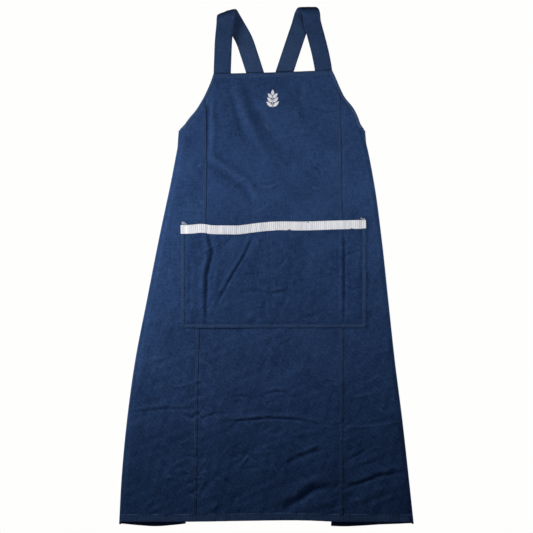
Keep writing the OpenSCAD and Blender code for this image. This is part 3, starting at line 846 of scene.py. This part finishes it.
t = np.linspace(0, 1, 400)
x = CORNER[-1] + 3 * MM + (CORNER[1] - CORNER[-1] - 6 * MM) * t
bib_rows = [front_row(x, BIB_Z - down + 0 * t, 0.9 * MM) for down in (2.2 * MM, BIB_HEM_H - 1.8 * MM)]
bib_rows.append(front_row(x, BIB_Z - BIB_HEM_H + 1.8 * MM + 0 * t, -1.7 * MM, 1))
stitches("bib_hem_stitching", bib_rows, "apron")
x = edge_x(-1, HEM_Z) + 5 * MM + (edge_x(1, HEM_Z) - edge_x(-1, HEM_Z) - 10 * MM) * t
z = HEM_Z + HEM_H - 1.8 * MM + 0 * t
hem_rows = [front_row(x, z, lift * MM, face) for lift, face in ((1.1, -1), (-1.6, 1))]
stitches("front_hem_stitching", hem_rows, "apron")
for s, side in SIDES.items():
    z = np.linspace(BIB_Z - 3 * MM, SIDE_Z + 2 * MM, 300)
    arm_row = front_row(edge_x(s, z) - s * 5 * MM, z, 1.3 * MM)
    z = np.linspace(seam_top(s, max(0, s * BAND_AT[s]) + 2 * MM) - 8 * MM, HEM_Z + HEM_H, 900)
    seam_rows = [
        front_row(seam_x(s, z) + BAND_AT[s] + k * MM, z, lift * MM, face)
        for k in (-2.1, 2.1)
        for lift, face in ((0.8, -1), (-1.4, 1))
    ]
    stitches(f"{side}_armhole_stitching", [arm_row], "apron")
    stitches(f"{side}_seam_stitching", seam_rows, "apron")

# %% [markdown]
# ## The pocket
# One wide panel is sewn down at both sides, along its bottom and down the middle, so it makes two
# pockets. It is flat where it is sewn and stands a little forward between the seams, most at its mouth.
# The front's felled seams print through as upright folds, and it has its own creases. Its mouth slants
# up to the right, because the whole panel was sewn on a little turned.

# %% Pocket panel
POCKET_FOLDS = [
    ([(-153, 356), (-144, 405), (-156, 455), (-158, 570)], 6.5, 3.6),
    ([(-144, 356), (-134, 405), (-146, 455), (-149, 570)], 4.2, -3.2),
    ([(-128, 372), (-121, 430), (-131, 500), (-138, 556)], 8, 1.6),
    ([(154, 356), (155, 440), (155, 570)], 5, 1.8),
    ([(161, 356), (162, 440), (162, 570)], 3.6, -3.0),
    ([(-40, 362), (-60, 410), (-90, 458), (-126, 528)], 2.6, -2.2),
    ([(-48, 362), (-68, 410), (-97, 456), (-133, 522)], 4.5, 2.0),
    ([(-28, 362), (-40, 400), (-66, 470)], 8, 1.6),
    ([(-85, 362), (-100, 385), (-122, 392)], 5, -1.6),
    ([(-75, 497), (-30, 491), (0, 498), (30, 492), (66, 496)], 4, -2.0),
    ([(-75, 488), (-30, 481), (0, 488), (30, 483), (66, 486)], 6, 1.7),
    ([(-12, 505), (-20, 530), (-14, 552)], 6, -1.8),
    ([(38, 470), (32, 505), (18, 540)], 6, -1.8),
    ([(160, 478), (182, 488), (204, 484)], 3.5, -1.8),
    ([(60, 375), (75, 420), (70, 470)], 14, -2.0),
    ([(20, 372), (34, 420), (20, 470)], 12, 1.4),
    ([(-188, 400), (-184, 470), (-186, 545)], 6, -1.4),
    ([(90, 520), (120, 500), (150, 512)], 6, -1.2),
] + small_folds(23, 34, (-190, 195), (365, 560))
MOUTH = through_mm(
    (-206, -180, -158, -135, -105, -72, -50, -27, 0, 75, 150, 214),
    (-345, -344.6, -342.6, -345.6, -346.2, -346, -343, -340, -337.6, -337, -334.6, -333),
)
POCKET_L, POCKET_R = POCKET_LOW[0], POCKET_HIGH[0]
POCKET_FOOT = POCKET_LOW[2]
POCKET_H = POCKET_HIGH[2] - POCKET_FOOT
DIVIDE = (span("pocket_divider")[0][0] + span("pocket_divider")[1][0]) / 2


def pocket_z(x, v):
    """Height of the pocket point v of the way from its bottom to its mouth."""
    return POCKET_FOOT + (BIB_Z + MOUTH(x) - POCKET_FOOT) * v


def on_pocket(x, v, lift=0.0):
    """Point of the pocket's outer face: on the front, plus the gap it stands off, plus its own folds."""
    x, v = np.broadcast_arrays(np.asarray(x, float), np.asarray(v, float))
    z = pocket_z(x, v)
    cell = np.where(x < DIVIDE, (x - POCKET_L) / (DIVIDE - POCKET_L), (x - DIVIDE) / (POCKET_R - DIVIDE))
    belly = np.sin(np.pi * np.clip(cell, 0, 1)) ** 0.8
    border = np.minimum(np.minimum(x - POCKET_L, POCKET_R - x), (z - POCKET_FOOT))
    inside = ease(border, 7 * MM, 17 * MM)
    gap = 1.9 * MM + (1.4 + 2.2 * belly * ease(v, 0.0, 1.05)) * MM * inside
    lip = 1.8 * MM * np.exp(-(((x + 0.1) / 0.06) ** 2)) * (1 - ease(v, 0.02, 0.16))
    gap = gap + lip
    folds = 0.6 * MM * crumple(x, z, 44, 21) + 0.35 * MM * crumple(x, z, 17, 22)
    for points, width, height in POCKET_FOLDS:
        folds = folds + ridge(x, z, points, width, height)
    divide = -0.4 * MM * np.exp(-(((x - DIVIDE) / (3 * MM)) ** 2)) * ease(v, 0.05, 0.3)
    stand = np.maximum(gap + (folds + divide) * inside, 1.0 * MM)
    under = on_front(x, z)
    return np.stack([x, under[..., 1] - stand - lift, z], -1)


n_x, n_v = int((POCKET_R - POCKET_L) / (2.4 * MM)), int(POCKET_H / (2.4 * MM))
x, v = np.meshgrid(np.linspace(POCKET_L, POCKET_R, n_x), np.linspace(0, 1, n_v), indexing="ij")
points = on_pocket(x, v)
edge = np.minimum(np.minimum(x - POCKET_L, POCKET_R - x), points[..., 2] - POCKET_FOOT)
worn = 0.3 * np.exp(-((edge / (5 * MM)) ** 2)) + 0.1 * np.exp(-(((x - DIVIDE) / (7 * MM)) ** 2))
worn = worn + 0.35 * np.exp(-(((x - DIVIDE) / (2.6 * MM)) ** 2)) * ease(v, 0.3, 0.7)
# painted light: the pocket's ridges are painted paler and its hollows darker by how far each point stands
# out; 0.16 is also taken off everywhere, which darkens the whole pocket a little
stand = hollow(lambda x, up: -on_pocket(x, up / POCKET_H)[..., 1], x, v * POCKET_H)
worn = worn - 0.16 + np.clip(0.4 * stand, -0.5, 0.35)
uv = np.stack([x + 0.013, pocket_z(x, v)], -1)
pocket = cloth("pocket_cloth", points, uv, "apron", worn)
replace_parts(pocket, "pocket_panel")

# %% [markdown]
# ## Pocket edges
# The pocket's raw edges are turned under, so a doubled border about 8 mm wide runs round three sides,
# with a row of stitches near the edge and another inside it. Two close rows divide it in the middle.

# %% Pocket borders and stitching
BORDER = 8 * MM
BAND_STEP = 2.4 * MM  # between the points of a band's path


def pocket_band(name, x, v, across, node):
    """A folded border under the pocket's edge, a little below its outer face."""
    path = resample(on_pocket(x, v, -0.25 * MM), BAND_STEP)
    look = HEM_CANVAS, "apron", "hem_canvas"
    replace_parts(band(name, path, across, BORDER, 1.7 * MM, *look, 0.15, 0.16 * MM), node)


t = np.linspace(0, 1, 200)
from_left, from_right = POCKET_L + BORDER / 2 - 0.4 * MM + 0 * t, POCKET_R - BORDER / 2 + 0.4 * MM + 0 * t
pocket_band("pocket_left_edge", from_left, 0.01 + 0.97 * t, (1, 0, 0), "pocket_left_border")
pocket_band("pocket_right_edge", from_right, 0.01 + 0.97 * t, (1, 0, 0), "pocket_right_border")
along_foot = POCKET_L + (POCKET_R - POCKET_L) * (0.004 + 0.992 * t)
pocket_band("pocket_foot_edge", along_foot, 0 * t + 0.016, DOWN, "pocket_bottom_border")


def pocket_row(x, v):
    """A row of stitches on the pocket."""
    return resample(on_pocket(x, v, 0.42 * MM), ROW_STEP), (0, -1, 0)


rows_in = []
for inset in (1.8 * MM, 7.2 * MM):
    low = inset / POCKET_H
    rows_in.append(pocket_row(POCKET_L + inset + 0 * t, low + (0.985 - low) * t))
    rows_in.append(pocket_row(POCKET_R - inset + 0 * t, low + (0.985 - low) * t))
    rows_in.append(pocket_row(POCKET_L + inset + (POCKET_R - POCKET_L - 2 * inset) * t, low + 0 * t))
stitches("pocket_border_stitching", rows_in, "apron")
divider_rows = [pocket_row(DIVIDE + k * MM + 0 * t, 0.02 + 0.9 * t) for k in (-2.6, 2.6)]
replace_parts(stitches("pocket_divider_stitching", divider_rows, "apron"), "pocket_divider")

# %% [markdown]
# ## The grosgrain tape
# A 20 mm ribbed tape is sewn over the pocket's mouth with white thread. Its ribs are real relief, drawn
# coarser than a cord is, so its edges are very slightly notched, and painted shade darkens it between
# them. It was cut with scissors, and loose warp ends curl up where it was cut. It is painted lighter
# towards its right, as painted light where the lamps light it less.

# %% Tape, its stitching and its loose ends
x = np.linspace(POCKET_L - 0.6 * MM, POCKET_R + 0.4 * MM, 400)
mid_v = 1 - (TAPE_H / 2 - 0.8 * MM) / POCKET_H
tape_line = resample(on_pocket(x, mid_v, 0.35 * MM), 0.375 * MM)
# painted light: the tape is painted lighter towards its right, where the lamps light it less
painted_light_ramp = ease(tape_line[:, 0], -0.1, POCKET_R) * 0.17
look = TAPE, "apron", "white_tape"
tape = band("pocket_tape_ribbon", tape_line, DOWN, TAPE_H, 1.3 * MM, *look, 0.0, ribs=0.08 * MM, tone=painted_light_ramp)
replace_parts(tape, "pocket_tape")


def tape_row(down):
    """A row of stitches on the tape, down metres below its top edge."""
    v = 1 - (down - 0.8 * MM) / POCKET_H
    return resample(on_pocket(x, v, 1.0 * MM), ROW_STEP), (0, -1, 0)


tape_rows = [tape_row(1.9 * MM), tape_row(TAPE_H - 1.9 * MM)]
stitches("pocket_tape_stitching", tape_rows, "apron", WHITE_THREAD, "white_tape", width=0.3)


def loose_end(name, start, reach, rise):
    """A thread 0.8 mm thick that curls up, over by reach mm and back down; a sine bends it forward."""
    q = np.linspace(0, 1, 60)
    side = reach * MM * (1 - np.cos(1.25 * np.pi * q)) / 2
    up = rise * MM * np.sin(0.85 * np.pi * q) + 0.5 * MM * np.sin(9 * q)
    path = np.asarray(start) + np.stack([side, -0.8 * MM - 1.0 * MM * np.sin(3 * q), up - 1 * MM], -1)
    band(name, path, (0, 1, 0), 0.8 * MM, 0.8 * MM, WHITE_THREAD, "apron", "white_tape", 0.0)


top_left = on_pocket(POCKET_L + 12 * MM, 1.0, 1.0 * MM)
top_right = on_pocket(POCKET_R - 7 * MM, 1.0, 1.0 * MM)
loose_end("tape_thread_left", top_left, -10.0, 8.5)
loose_end("tape_thread_left_short", top_left - np.array([4 * MM, 0, 0]), -4.0, 5.5)
loose_end("tape_thread_right", top_right, -4.0, 6.0)
loose_end("tape_thread_right_short", top_right + np.array([2 * MM, 0, 0]), 2.5, 4.5)

# %% [markdown]
# ## The chest mark
# A small white screen print sits on the chest. Here it is a plain sprig: three pairs of pointed leaflets
# and one at the tip, on a thin stem. A leaflet is a grid along its length and across its width, as wide
# as a sine at each place, then turned to its angle and moved to its joint on the stem. All are one mesh.

# %% Printed sprig
mark_low, mark_high = span("chest_mark")
mark_mid = (mark_low + mark_high) / 2
half_w, half_h = (mark_high[0] - mark_low[0]) / 2, (mark_high[2] - mark_low[2]) / 2


def leaflet(root_x, root_z, angle, length, width):
    """Leaflet grid: q along it, across by width/2 * sin(pi q^0.8), turned by angle from upright."""
    q = np.linspace(0.0, 1.0, 15)[None, :]
    a = np.linspace(-1, 1, 7)[:, None]
    along = q * length + 0 * a
    wide = a * np.maximum(width / 2 * np.sin(np.pi * q**0.8), 0.12 * MM)
    c, d = np.cos(angle), np.sin(angle)
    return root_x + wide * c + along * d, root_z - wide * d + along * c


stem_foot = mark_mid[2] - half_h
leaflets = [leaflet(mark_mid[0], stem_foot, 0.0, 1.55 * half_h, 1.5 * MM)]
leaflets.append(leaflet(mark_mid[0], stem_foot + 1.38 * half_h, 0.0, 0.62 * half_h, 7.5 * MM))
for k in range(3):
    root = stem_foot + (0.16 + 0.46 * k) * half_h
    angle, length = 0.86 - 0.06 * k, (1.16 - 0.1 * k) * half_w
    leaflets += [leaflet(mark_mid[0] + s * 1.2 * MM, root, s * angle, length, 7.6 * MM) for s in SIDES]
parts = []
for x, z in leaflets:
    points, uv = on_front(x, z, 0.28 * MM), np.stack([x, z], -1)
    parts.append((points.reshape(-1, 3), grid_quads(*x.shape), uv.reshape(-1, 2)))
sprig = piece("chest_sprig_print", *merged(parts), INK, "apron", "white_print")
thicken(sprig, 0.25 * MM)
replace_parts(sprig, "chest_mark")
print(f"sprig: {len(parts)} leaflets")

# %% [markdown]
# ## Back panels
# Each side panel carries on round the fold and becomes a back panel, scooped under the arm down to the
# corner where a strap holds it, and free below that. The grid's columns go round the fold on a half
# circle and then across the back.

# %% Back outline and relief
CORNER_DROP = BIB_Z - CORNER_Z
SCOOP_DROPS = (128, 180, 260, 340, 420, 480, 515, 535)
SCOOP_X = {
    -1: through_mm(SCOOP_DROPS, (203, 206.5, 207, 204, 196, 183, 165, 134)),
    1: through_mm(SCOOP_DROPS, (203.5, 207.5, 209, 206, 197, 181, 161, 127)),
}
FREE_EDGE = {-1: (134, 195), 1: (127, 134)}  # mm from the middle, at the corner and at the foot


def inner_edge(s, z):
    """How far a back panel's inner edge is from the middle: the scoop to its corner, then a straight line."""
    drop = BIB_Z - np.asarray(z, float)
    t = np.clip((drop - CORNER_DROP) / (BIB_Z - FOOT_Z - CORNER_DROP), 0, 1)
    straight = (FREE_EDGE[s][0] + (FREE_EDGE[s][1] - FREE_EDGE[s][0]) * t) * MM
    return np.where(drop < CORNER_DROP, SCOOP_X[s](drop), straight)


BACK_FACE = BACK_Y + 0.3 * MM  # where a back panel's outer face lies before its folds
BACK_FOLDS = [
    ([(-150, 590), (-200, 640), (-260, 660)], 10, 2.1),
    ([(150, 590), (200, 650), (245, 670)], 10, 2.1),
    ([(-320, 770), (-240, 775), (-150, 768)], 4, -1.8),
    ([(145, 772), (220, 778), (285, 770)], 4, -1.8),
    ([(-170, 600), (-185, 720), (-180, 860)], 14, 2.4),
    ([(165, 600), (180, 730), (178, 860)], 14, 2.4),
    ([(-215, 330), (-225, 430), (-215, 520)], 8, 1.4),
    ([(215, 330), (228, 430), (210, 520)], 8, 1.4),
    ([(-310, 930), (-240, 900), (-190, 930)], 8, -1.8),
    ([(200, 920), (250, 890), (300, 900)], 8, -1.8),
]


BACK_FOOT = {
    -1: through_mm((150, 190, 225, 260, 300, 345), (9, 5.5, 1.8, -0.6, 1.5, 6)),
    1: through_mm((125, 160, 200, 240, 280, 321), (0.5, -1.0, 0.5, 3, 4.5, 6.5)),
}


def back_foot(s, x):
    """Lowest edge of a back panel: it dips a little below the front's hem, most near its middle."""
    return FOOT_Z - 1.8 * MM + BACK_FOOT[s](np.abs(x))


def back_relief(x, z):
    """How far a back panel stands behind its flat place."""
    total = 0.5 * MM + 0.5 * MM * crumple(x, z, 150, 31)
    total = total + 0.3 * MM * crumple(x, z, 40, 32) + 0.15 * MM * crumple(x, z, 17, 33)
    for points, width, height in BACK_FOLDS:
        total = total + ridge(x, z, points, width, height)
    inside = np.minimum(x - edge_x(-1, z), edge_x(1, z) - x)
    return np.maximum(total, -0.3 * MM) * ease(inside, FOLD_R, FOLD_R + 12 * MM)


def on_back(x, z, lift=0.0):
    """Point of a back panel's outer face, which faces +Y."""
    x, z = np.broadcast_arrays(np.asarray(x, float), np.asarray(z, float))
    return np.stack([x, BACK_FACE + back_relief(x, z) + lift, z], -1)


TWIST = 0.24  # a drop below the strap's corner, in metres


def flap_blend(s):
    return ("apron", f"{SIDES[s]}_flap", (0, 0, FLAP_Z + 0.02), (0, 0, FLAP_Z - TWIST))


print("back outline ready, corner", round(float(CORNER_DROP), 4), "m below the bib's top")

# %% [markdown]
# ## Round the fold and across the back
# The fold's half circle begins level with the front's flat face and ends level with the back's. Below the
# underarm it keeps its full radius, and at the underarm it closes to nothing. The cloth is rubbed most
# where it turns, and along its inner edge.

# %% Make the back panels
up = np.linspace(0, 1, 300)[None, :]
turns = np.linspace(0, np.pi, 15)[:, None]
flat = np.linspace(0, 1, 62)[1:, None]
top = SIDE_Z - 1 * MM
for s, side in SIDES.items():
    low = back_foot(s, s * 0.25 + 0 * up)
    level = low + (top - low) * up
    radius = FOLD_R * ease(-level, -SIDE_Z, -SIDE_Z + 0.02)
    fold_x = edge_x(s, level) - s * radius
    inner = s * np.minimum(inner_edge(s, level), np.abs(fold_x) - 0.5 * MM)
    x = fold_x + (inner - fold_x) * flat
    foot = back_foot(s, x)
    z = foot + (top - foot) * up
    arc_x = fold_x + s * radius * np.sin(turns)
    arc_y = FRONT_Y - 0.05 * MM + (BACK_FACE - FRONT_Y) * (1 - np.cos(turns)) / 2
    arc_z = back_foot(s, fold_x) + (top - back_foot(s, fold_x)) * up
    arc = np.stack(np.broadcast_arrays(arc_x, arc_y, arc_z), -1)
    points = np.concatenate([arc, on_back(x, z)])
    arc_uv = np.stack(np.broadcast_arrays(fold_x + s * FOLD_R * (np.pi - turns), arc_z), -1)
    uv = np.concatenate([arc_uv, np.stack([x, z], -1)])
    edge = np.concatenate([0 * turns + 0 * up + 1, np.abs(x - inner) / (4 * MM)])
    worn = 0.7 * np.exp(-(edge**2)) + 0.25 * np.concatenate([np.sin(turns) + 0 * up, 0 * x])
    back = cloth(f"{side}_back_cloth", points, uv, flap_blend(s), worn, flip=s < 0)
    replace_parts(back, f"{side}_back_panel", f"{side}_side_fold", f"{side}_back_flap", f"{side}_flap_fold")

# %% [markdown]
# ## Hems of the back
# The back panel is hemmed all round: a narrow hem down the scoop, a wider one down the free inner edge
# and a deep one along the bottom.

# %% Back hem bands and stitching
OUT = (0, 1, 0)


def back_band(name, x, z, across, width, thick, body, rope, node):
    """A band that lies on a back panel along points (x, z)."""
    path = resample(on_back(x, z, -0.1 * MM), BAND_STEP)
    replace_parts(band(name, path, across, width, thick, HEM_CANVAS, body, "hem_canvas", 0.3, rope), node)


def back_row(x, z, lift):
    """A row of stitches on a back panel, lift mm off its face."""
    return resample(on_back(x, z, lift * MM), ROW_STEP), OUT


t = np.linspace(0, 1, 240)
for s, side in SIDES.items():
    scoop_z = SIDE_Z - 3 * MM - (SIDE_Z - CORNER_Z - 8 * MM) * t
    scoop_x = s * inner_edge(s, scoop_z) + s * 3.4 * MM
    edge_z = CORNER_Z - 2 * MM - (CORNER_Z - FOOT_Z - 12 * MM) * t
    edge_in = s * inner_edge(s, edge_z) + s * 5.8 * MM
    foot_in = s * inner_edge(s, FOOT_Z)
    foot_out = edge_x(s, FOOT_Z) - s * (FOLD_R - 1 * MM)
    foot_x = foot_in + (foot_out - foot_in) * t
    foot_z = back_foot(s, foot_x) + HEM_H / 2
    side_on, turned = (1, 0, 0), (0, 0, s)
    scoop = scoop_x, scoop_z, side_on, 7 * MM, 2.0 * MM, "apron", 0.12 * MM
    free = edge_in, edge_z, side_on, 12 * MM, 2.3 * MM, flap_blend(s), 0.15 * MM
    foot = foot_x, foot_z, turned, HEM_H, 2.3 * MM, flap_blend(s), 0.25 * MM
    back_band(f"{side}_scoop_band", *scoop, f"{side}_scoop_hem")
    back_band(f"{side}_flap_edge_band", *free, f"{side}_flap_edge")
    back_band(f"{side}_flap_hem_band", *foot, f"{side}_flap_hem")
    stitches(f"{side}_scoop_stitching", [back_row(scoop_x + s * 2 * MM, scoop_z, 0.9)], "apron")
    flap_rows = [back_row(edge_in + s * k * MM, edge_z, 1.05) for k in (-4.2, 4.4)]
    flap_rows.append(back_row(foot_x, foot_z + HEM_H / 2 - 1.8 * MM, 1.1))
    stitches(f"{side}_flap_stitching", flap_rows, flap_blend(s))

# %% [markdown]
# ## Straps
# A strap is two layers of canvas sewn into a tube and pressed. It is stitched behind the bib's corner,
# stands up, rolls over at the shoulder and comes down behind at a slant. A path through a few points
# gives its middle line, and a second curve turns its width, from square across at the front to square
# to the slanting leg behind.

# %% Strap paths
STRAP_T = 1.9 * MM
LOOP_R = 9 * MM
BEND = ((0, 0, BIB_Z - 2 * MM), (0, 0, BIB_Z + 26 * MM))
# per shoulder, in mm and degrees: front and back as (x, height over the bib), the crown's four x and its
# height, the slant behind as x to a unit of drop, the gap behind the bib where the straps cross, and how
# far the width is turned 100 mm and 30 mm before the crown and at it
STRAP_SHAPES = {
    -1: (
        [(-111.5, -42), (-111.5, -20), (-111.5, 0), (-110.5, 30), (-108.6, 72), (-105.5, 104)],
        [(-77.4, 101), (-63.9, 76.5), (-50.2, 38), (-39.6, 4.5)],
        (-103, -100, -96, -92.5), 124, 0.331, 0.35, (0, 4, 21),
    ),
    1: (
        [(116.5, -42), (116.5, -20), (116.5, 0), (111, 34), (100, 78), (91, 112)],
        [(63.2, 105), (53.6, 76.5), (41.6, 40), (29.9, 4.5)],
        (87, 82, 77, 73), 132, -0.325, 2.4, (11, 11, 3),
    ),
}


def strap_path(s):
    """Middle line, width direction and distance from the crown of the strap whose shoulder is on side s."""
    front, back, crown_x, crown_z, slant, gap, front_turns = STRAP_SHAPES[s]
    behind = FRONT_BACK / MM + 1.75
    cross = behind + gap
    rest = BACK_Y / MM - 2.0
    points = [(x, behind - forward, z) for (x, z), forward in zip(front, (0, 0, 0, 0.9, 3.0, 4.4))]
    for x, a in zip(crown_x, np.radians((20, 70, 112, 160))):
        points.append((x, -np.cos(a) * LOOP_R / MM, crown_z + np.sin(a) * LOOP_R / MM))
    points += [(x, y, z) for (x, z), y in zip(back, (7.6, 5.6, 1.6, cross + 0.4))]
    x0, z0 = back[-1]
    heights = (-60, -120, -190, -320, -450, -515, -578)
    for z, y in zip(heights, (cross, cross, cross, (cross + rest) / 2, rest, rest, rest)):
        points.append((x0 + slant * (z0 - z), y, z))
    points = np.array(points, float)
    points[:, 2] += BIB_Z / MM
    s_at = lengths(points)
    fine = np.linspace(0, s_at[-1], 700)
    curve = resample(np.stack([through(s_at, points[:, k])(fine) for k in range(3)], -1) * MM, 2.6 * MM)
    at = lengths(curve) - lengths(curve)[np.argmax(curve[:, 2])]
    lean = np.degrees(np.arctan(slant))
    angle = np.interp(at, (-0.16, -0.10, -0.03, 0, 0.03, 0.10), (0, *front_turns, lean * 0.9, lean))
    angle = np.radians(np.convolve(np.pad(angle, 8, "edge"), np.ones(17) / 17, "valid"))
    return curve, np.stack([np.cos(angle), 0 * angle, np.sin(angle)], -1), at


def loop_blend(side):
    return ("apron", f"{side}_loop", *BEND)


TUCK = {-1: 3.5 * MM, 1: 0.8 * MM}  # how far one edge of a strap dips at the crown
STRAPS = {s: strap_path(s) for s in SIDES}
for s, side in SIDES.items():
    curve, across, at = STRAPS[s]
    crown = np.exp(-((at / (17 * MM)) ** 2))
    # tone is painted light and shade: the strap is painted darker up to its crown and lighter on its legs
    # behind, which lie in shadow
    shape = {"bow": -5.6 * MM * crown, "tuck": TUCK[s] * crown, "tone": -0.14 + 0.28 * ease(at, -0.01, 0.02)}
    look = STRAP_CANVAS, loop_blend(side), "strap_canvas", 0.3, 0.08 * MM
    strap = band(f"{side}_strap", curve, -across, STRAP_W, STRAP_T, *look, **shape)
    loop = [f"{side}_loop_front", f"{side}_loop_crown", f"{side}_loop_back"]
    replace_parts(strap, f"{side}_strap_end", *loop, f"{side}_cross_strap")
    print(f"{side}_strap: {lengths(curve)[-1]:.3f} m long")

# %% [markdown]
# ## Strap stitching
# A row runs 3 mm inside each edge of a strap, through both layers, so it shows on both faces.

# %% Strap stitching
for s, side in SIDES.items():
    curve, across, at = STRAPS[s]
    along = unit(np.gradient(curve, axis=0))
    across = square(across, along)
    out = np.cross(-across, along)
    rows_of = []
    for face in (1, -1):
        for k in (-1, 1):
            row = curve + across * k * (STRAP_W / 2 - 3 * MM) + out * face * (STRAP_T / 2 + 0.05 * MM)
            rows_of.append((row, out * face))
    stitches(f"{side}_strap_stitching", rows_of, loop_blend(side), length=2.9, gap=0.9)

# %% [markdown]
# ## Strap ends
# Behind the bib, a strap's end is sewn down with a square and a cross, which show on its back face.

# %% Strap ends behind the bib
SQUARE_SIDES = [(0, 1), (1, 2), (2, 3), (3, 0)]
CROSS = [(0, 2), (1, 3)]
for s, side in SIDES.items():
    foot = STRAPS[s][0][0]
    x0, y0, z0 = foot[0], foot[1] + STRAP_T / 2 + 0.05 * MM, foot[2] + 4 * MM
    w, h = STRAP_W / 2 - 4 * MM, 26 * MM
    ring = np.array([(x0 - w, z0), (x0 + w, z0), (x0 + w, z0 + h), (x0 - w, z0 + h)])
    lines = [np.linspace(ring[i], ring[j], 24) for i, j in SQUARE_SIDES + CROSS]
    rows_of = [(np.stack([line[:, 0], y0 + 0 * line[:, 0], line[:, 1]], -1), OUT) for line in lines]
    stitches(f"{side}_strap_end_stitching", rows_of, "apron", width=0.5, rise=0.4)

# %% [markdown]
# ## Box tacks
# Where a strap is sewn to its back panel, a square with a cross in it takes the pull. It shows on the
# panel's outer face as six short rows.

# %% Box tacks on the back panels
for s, side in SIDES.items():
    curve, across, _ = STRAPS[-s]
    mid = curve[-12]
    lean = np.arctan2(across[-12][2], across[-12][0])
    h = STRAP_W / 2 - 4 * MM
    a, b = np.array([np.cos(lean), np.sin(lean)]) * h, np.array([-np.sin(lean), np.cos(lean)]) * h
    c = np.array([mid[0], mid[2]])
    corners = [c - a - b, c + a - b, c + a + b, c - a + b]
    rows_of = []
    for i, j in SQUARE_SIDES + CROSS:
        line = corners[i] + (corners[j] - corners[i]) * np.linspace(0.03, 0.97, 40)[:, None]
        rows_of.append((on_back(line[:, 0], line[:, 1], 0.35 * MM), OUT))
    tack = stitches(f"{side}_box_tack", rows_of, flap_blend(s), width=0.55, rise=0.4)
    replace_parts(tack, f"{side}_strap_tack")

# %% [markdown]
# ## Floor and world
# A plain pale floor lies below the hem. To the camera both it and the world are white, as a studio's
# backdrop is. To all other light the floor is dark and the world a dim blue, so neither fills the folds.

# %% Floor and world
FLOOR_SIZE, FLOOR_Z = 6.0, FOOT_Z - 0.03
WHITE = linear("#fefefd")


def camera_sees(tree, out, lit, white):
    """Mixes two shaders by ray: white for the camera, lit for all other light."""
    ray = add(tree, "ShaderNodeLightPath")
    both = add(tree, "ShaderNodeMixShader", {0: (ray, "Is Camera Ray"), 1: (lit, 0), 2: (white, 0)})
    tree.links.new(both.outputs[0], out.inputs[0])


corners = np.array([(-1, -1), (1, -1), (1, 1), (-1, 1)]) * FLOOR_SIZE / 2
floor_mesh = bpy.data.meshes.new("floor")
floor_mesh.from_pydata([(x, y, FLOOR_Z) for x, y in corners], [], [(0, 1, 2, 3)])
floor = bpy.data.objects.new("floor", floor_mesh)
bpy.context.scene.collection.objects.link(floor)
floor_material, tree, out = new_material("plain_white_floor")
pale = add(tree, "ShaderNodeBsdfDiffuse", {"Color": linear("#5a5c60")})
camera_sees(tree, out, pale, add(tree, "ShaderNodeEmission", {"Color": WHITE, "Strength": 1.0}))
floor_mesh.materials.append(floor_material)

world = bpy.data.worlds.new("studio")
bpy.context.scene.world = world
world.use_nodes = True
tree = world.node_tree
tree.nodes.clear()
out = add(tree, "ShaderNodeOutputWorld")
dim = add(tree, "ShaderNodeBackground", {"Color": linear("#6f97dc"), "Strength": 0.06})
camera_sees(tree, out, dim, add(tree, "ShaderNodeBackground", {"Color": WHITE, "Strength": 1.0}))
bpy.context.scene.view_settings.view_transform = "Standard"
print("floor at", round(float(FLOOR_Z), 4))

# %% [markdown]
# ## Lamps
# The strongest lamp on the front stands close at the left, level with the chest. It grazes the cloth, so
# every fold has a light side and a dark one, and the skirt grows darker towards the hem. A weaker lamp in
# front of the right side lights what the first one leaves. A third, behind, lights the back.


# %% Lamps
def lamp(name, place, target, width, power, spread):
    """A square area lamp at place, turned to face target, unseen by the camera; spread is in degrees."""
    data = bpy.data.lights.new(name, "AREA")
    data.size, data.energy, data.spread = width, power, np.radians(spread)
    obj = bpy.data.objects.new(name, data)
    bpy.context.scene.collection.objects.link(obj)
    aim = np.array(target, float) - np.array(place, float)
    obj.location = place
    obj.rotation_euler = (np.arctan2(np.hypot(aim[0], aim[1]), -aim[2]), 0, np.arctan2(-aim[0], aim[1]))
    obj.visible_camera = False
    print(f"{name}: {power} W, {np.linalg.norm(aim):.2f} m from what it lights")


lamp("key_left", (-0.77, -0.38, BIB_Z - 0.27), (-0.05, 0, BIB_Z - 0.26), 0.45, 7.3, 180)
lamp("key_right", (0.36, -0.62, BIB_Z - 0.27), (0.08, 0, BIB_Z + 0.05), 0.45, 2.8, 180)
lamp("back", (1.5, 1.1, BIB_Z + 0.5), (0.0, 0, BIB_Z - 0.45), 0.8, 44, 150)

# %% [markdown]
# ## Camera
# A long lens looks level from far off, so the apron is seen with almost no perspective. The distance is
# what makes the view as wide as VIEW_W at the cloth.

# %% Camera
VIEW_W, VIEW_X, VIEW_DROP = 1.199, -12 * MM, 0.4376  # the drop is from the bib's top to the view's middle
camera_data = bpy.data.cameras.new("camera")
camera_data.type = "PERSP"
camera_data.sensor_width = 36.0
camera_data.lens = 100.0
camera = bpy.data.objects.new("camera", camera_data)
bpy.context.scene.collection.objects.link(camera)
distance = VIEW_W * camera_data.lens / camera_data.sensor_width
camera.location = (VIEW_X, FRONT_Y - distance, BIB_Z - VIEW_DROP)
camera.rotation_euler = (np.pi / 2, 0, 0)
bpy.context.scene.camera = camera
print(f"camera {distance:.2f} m in front")
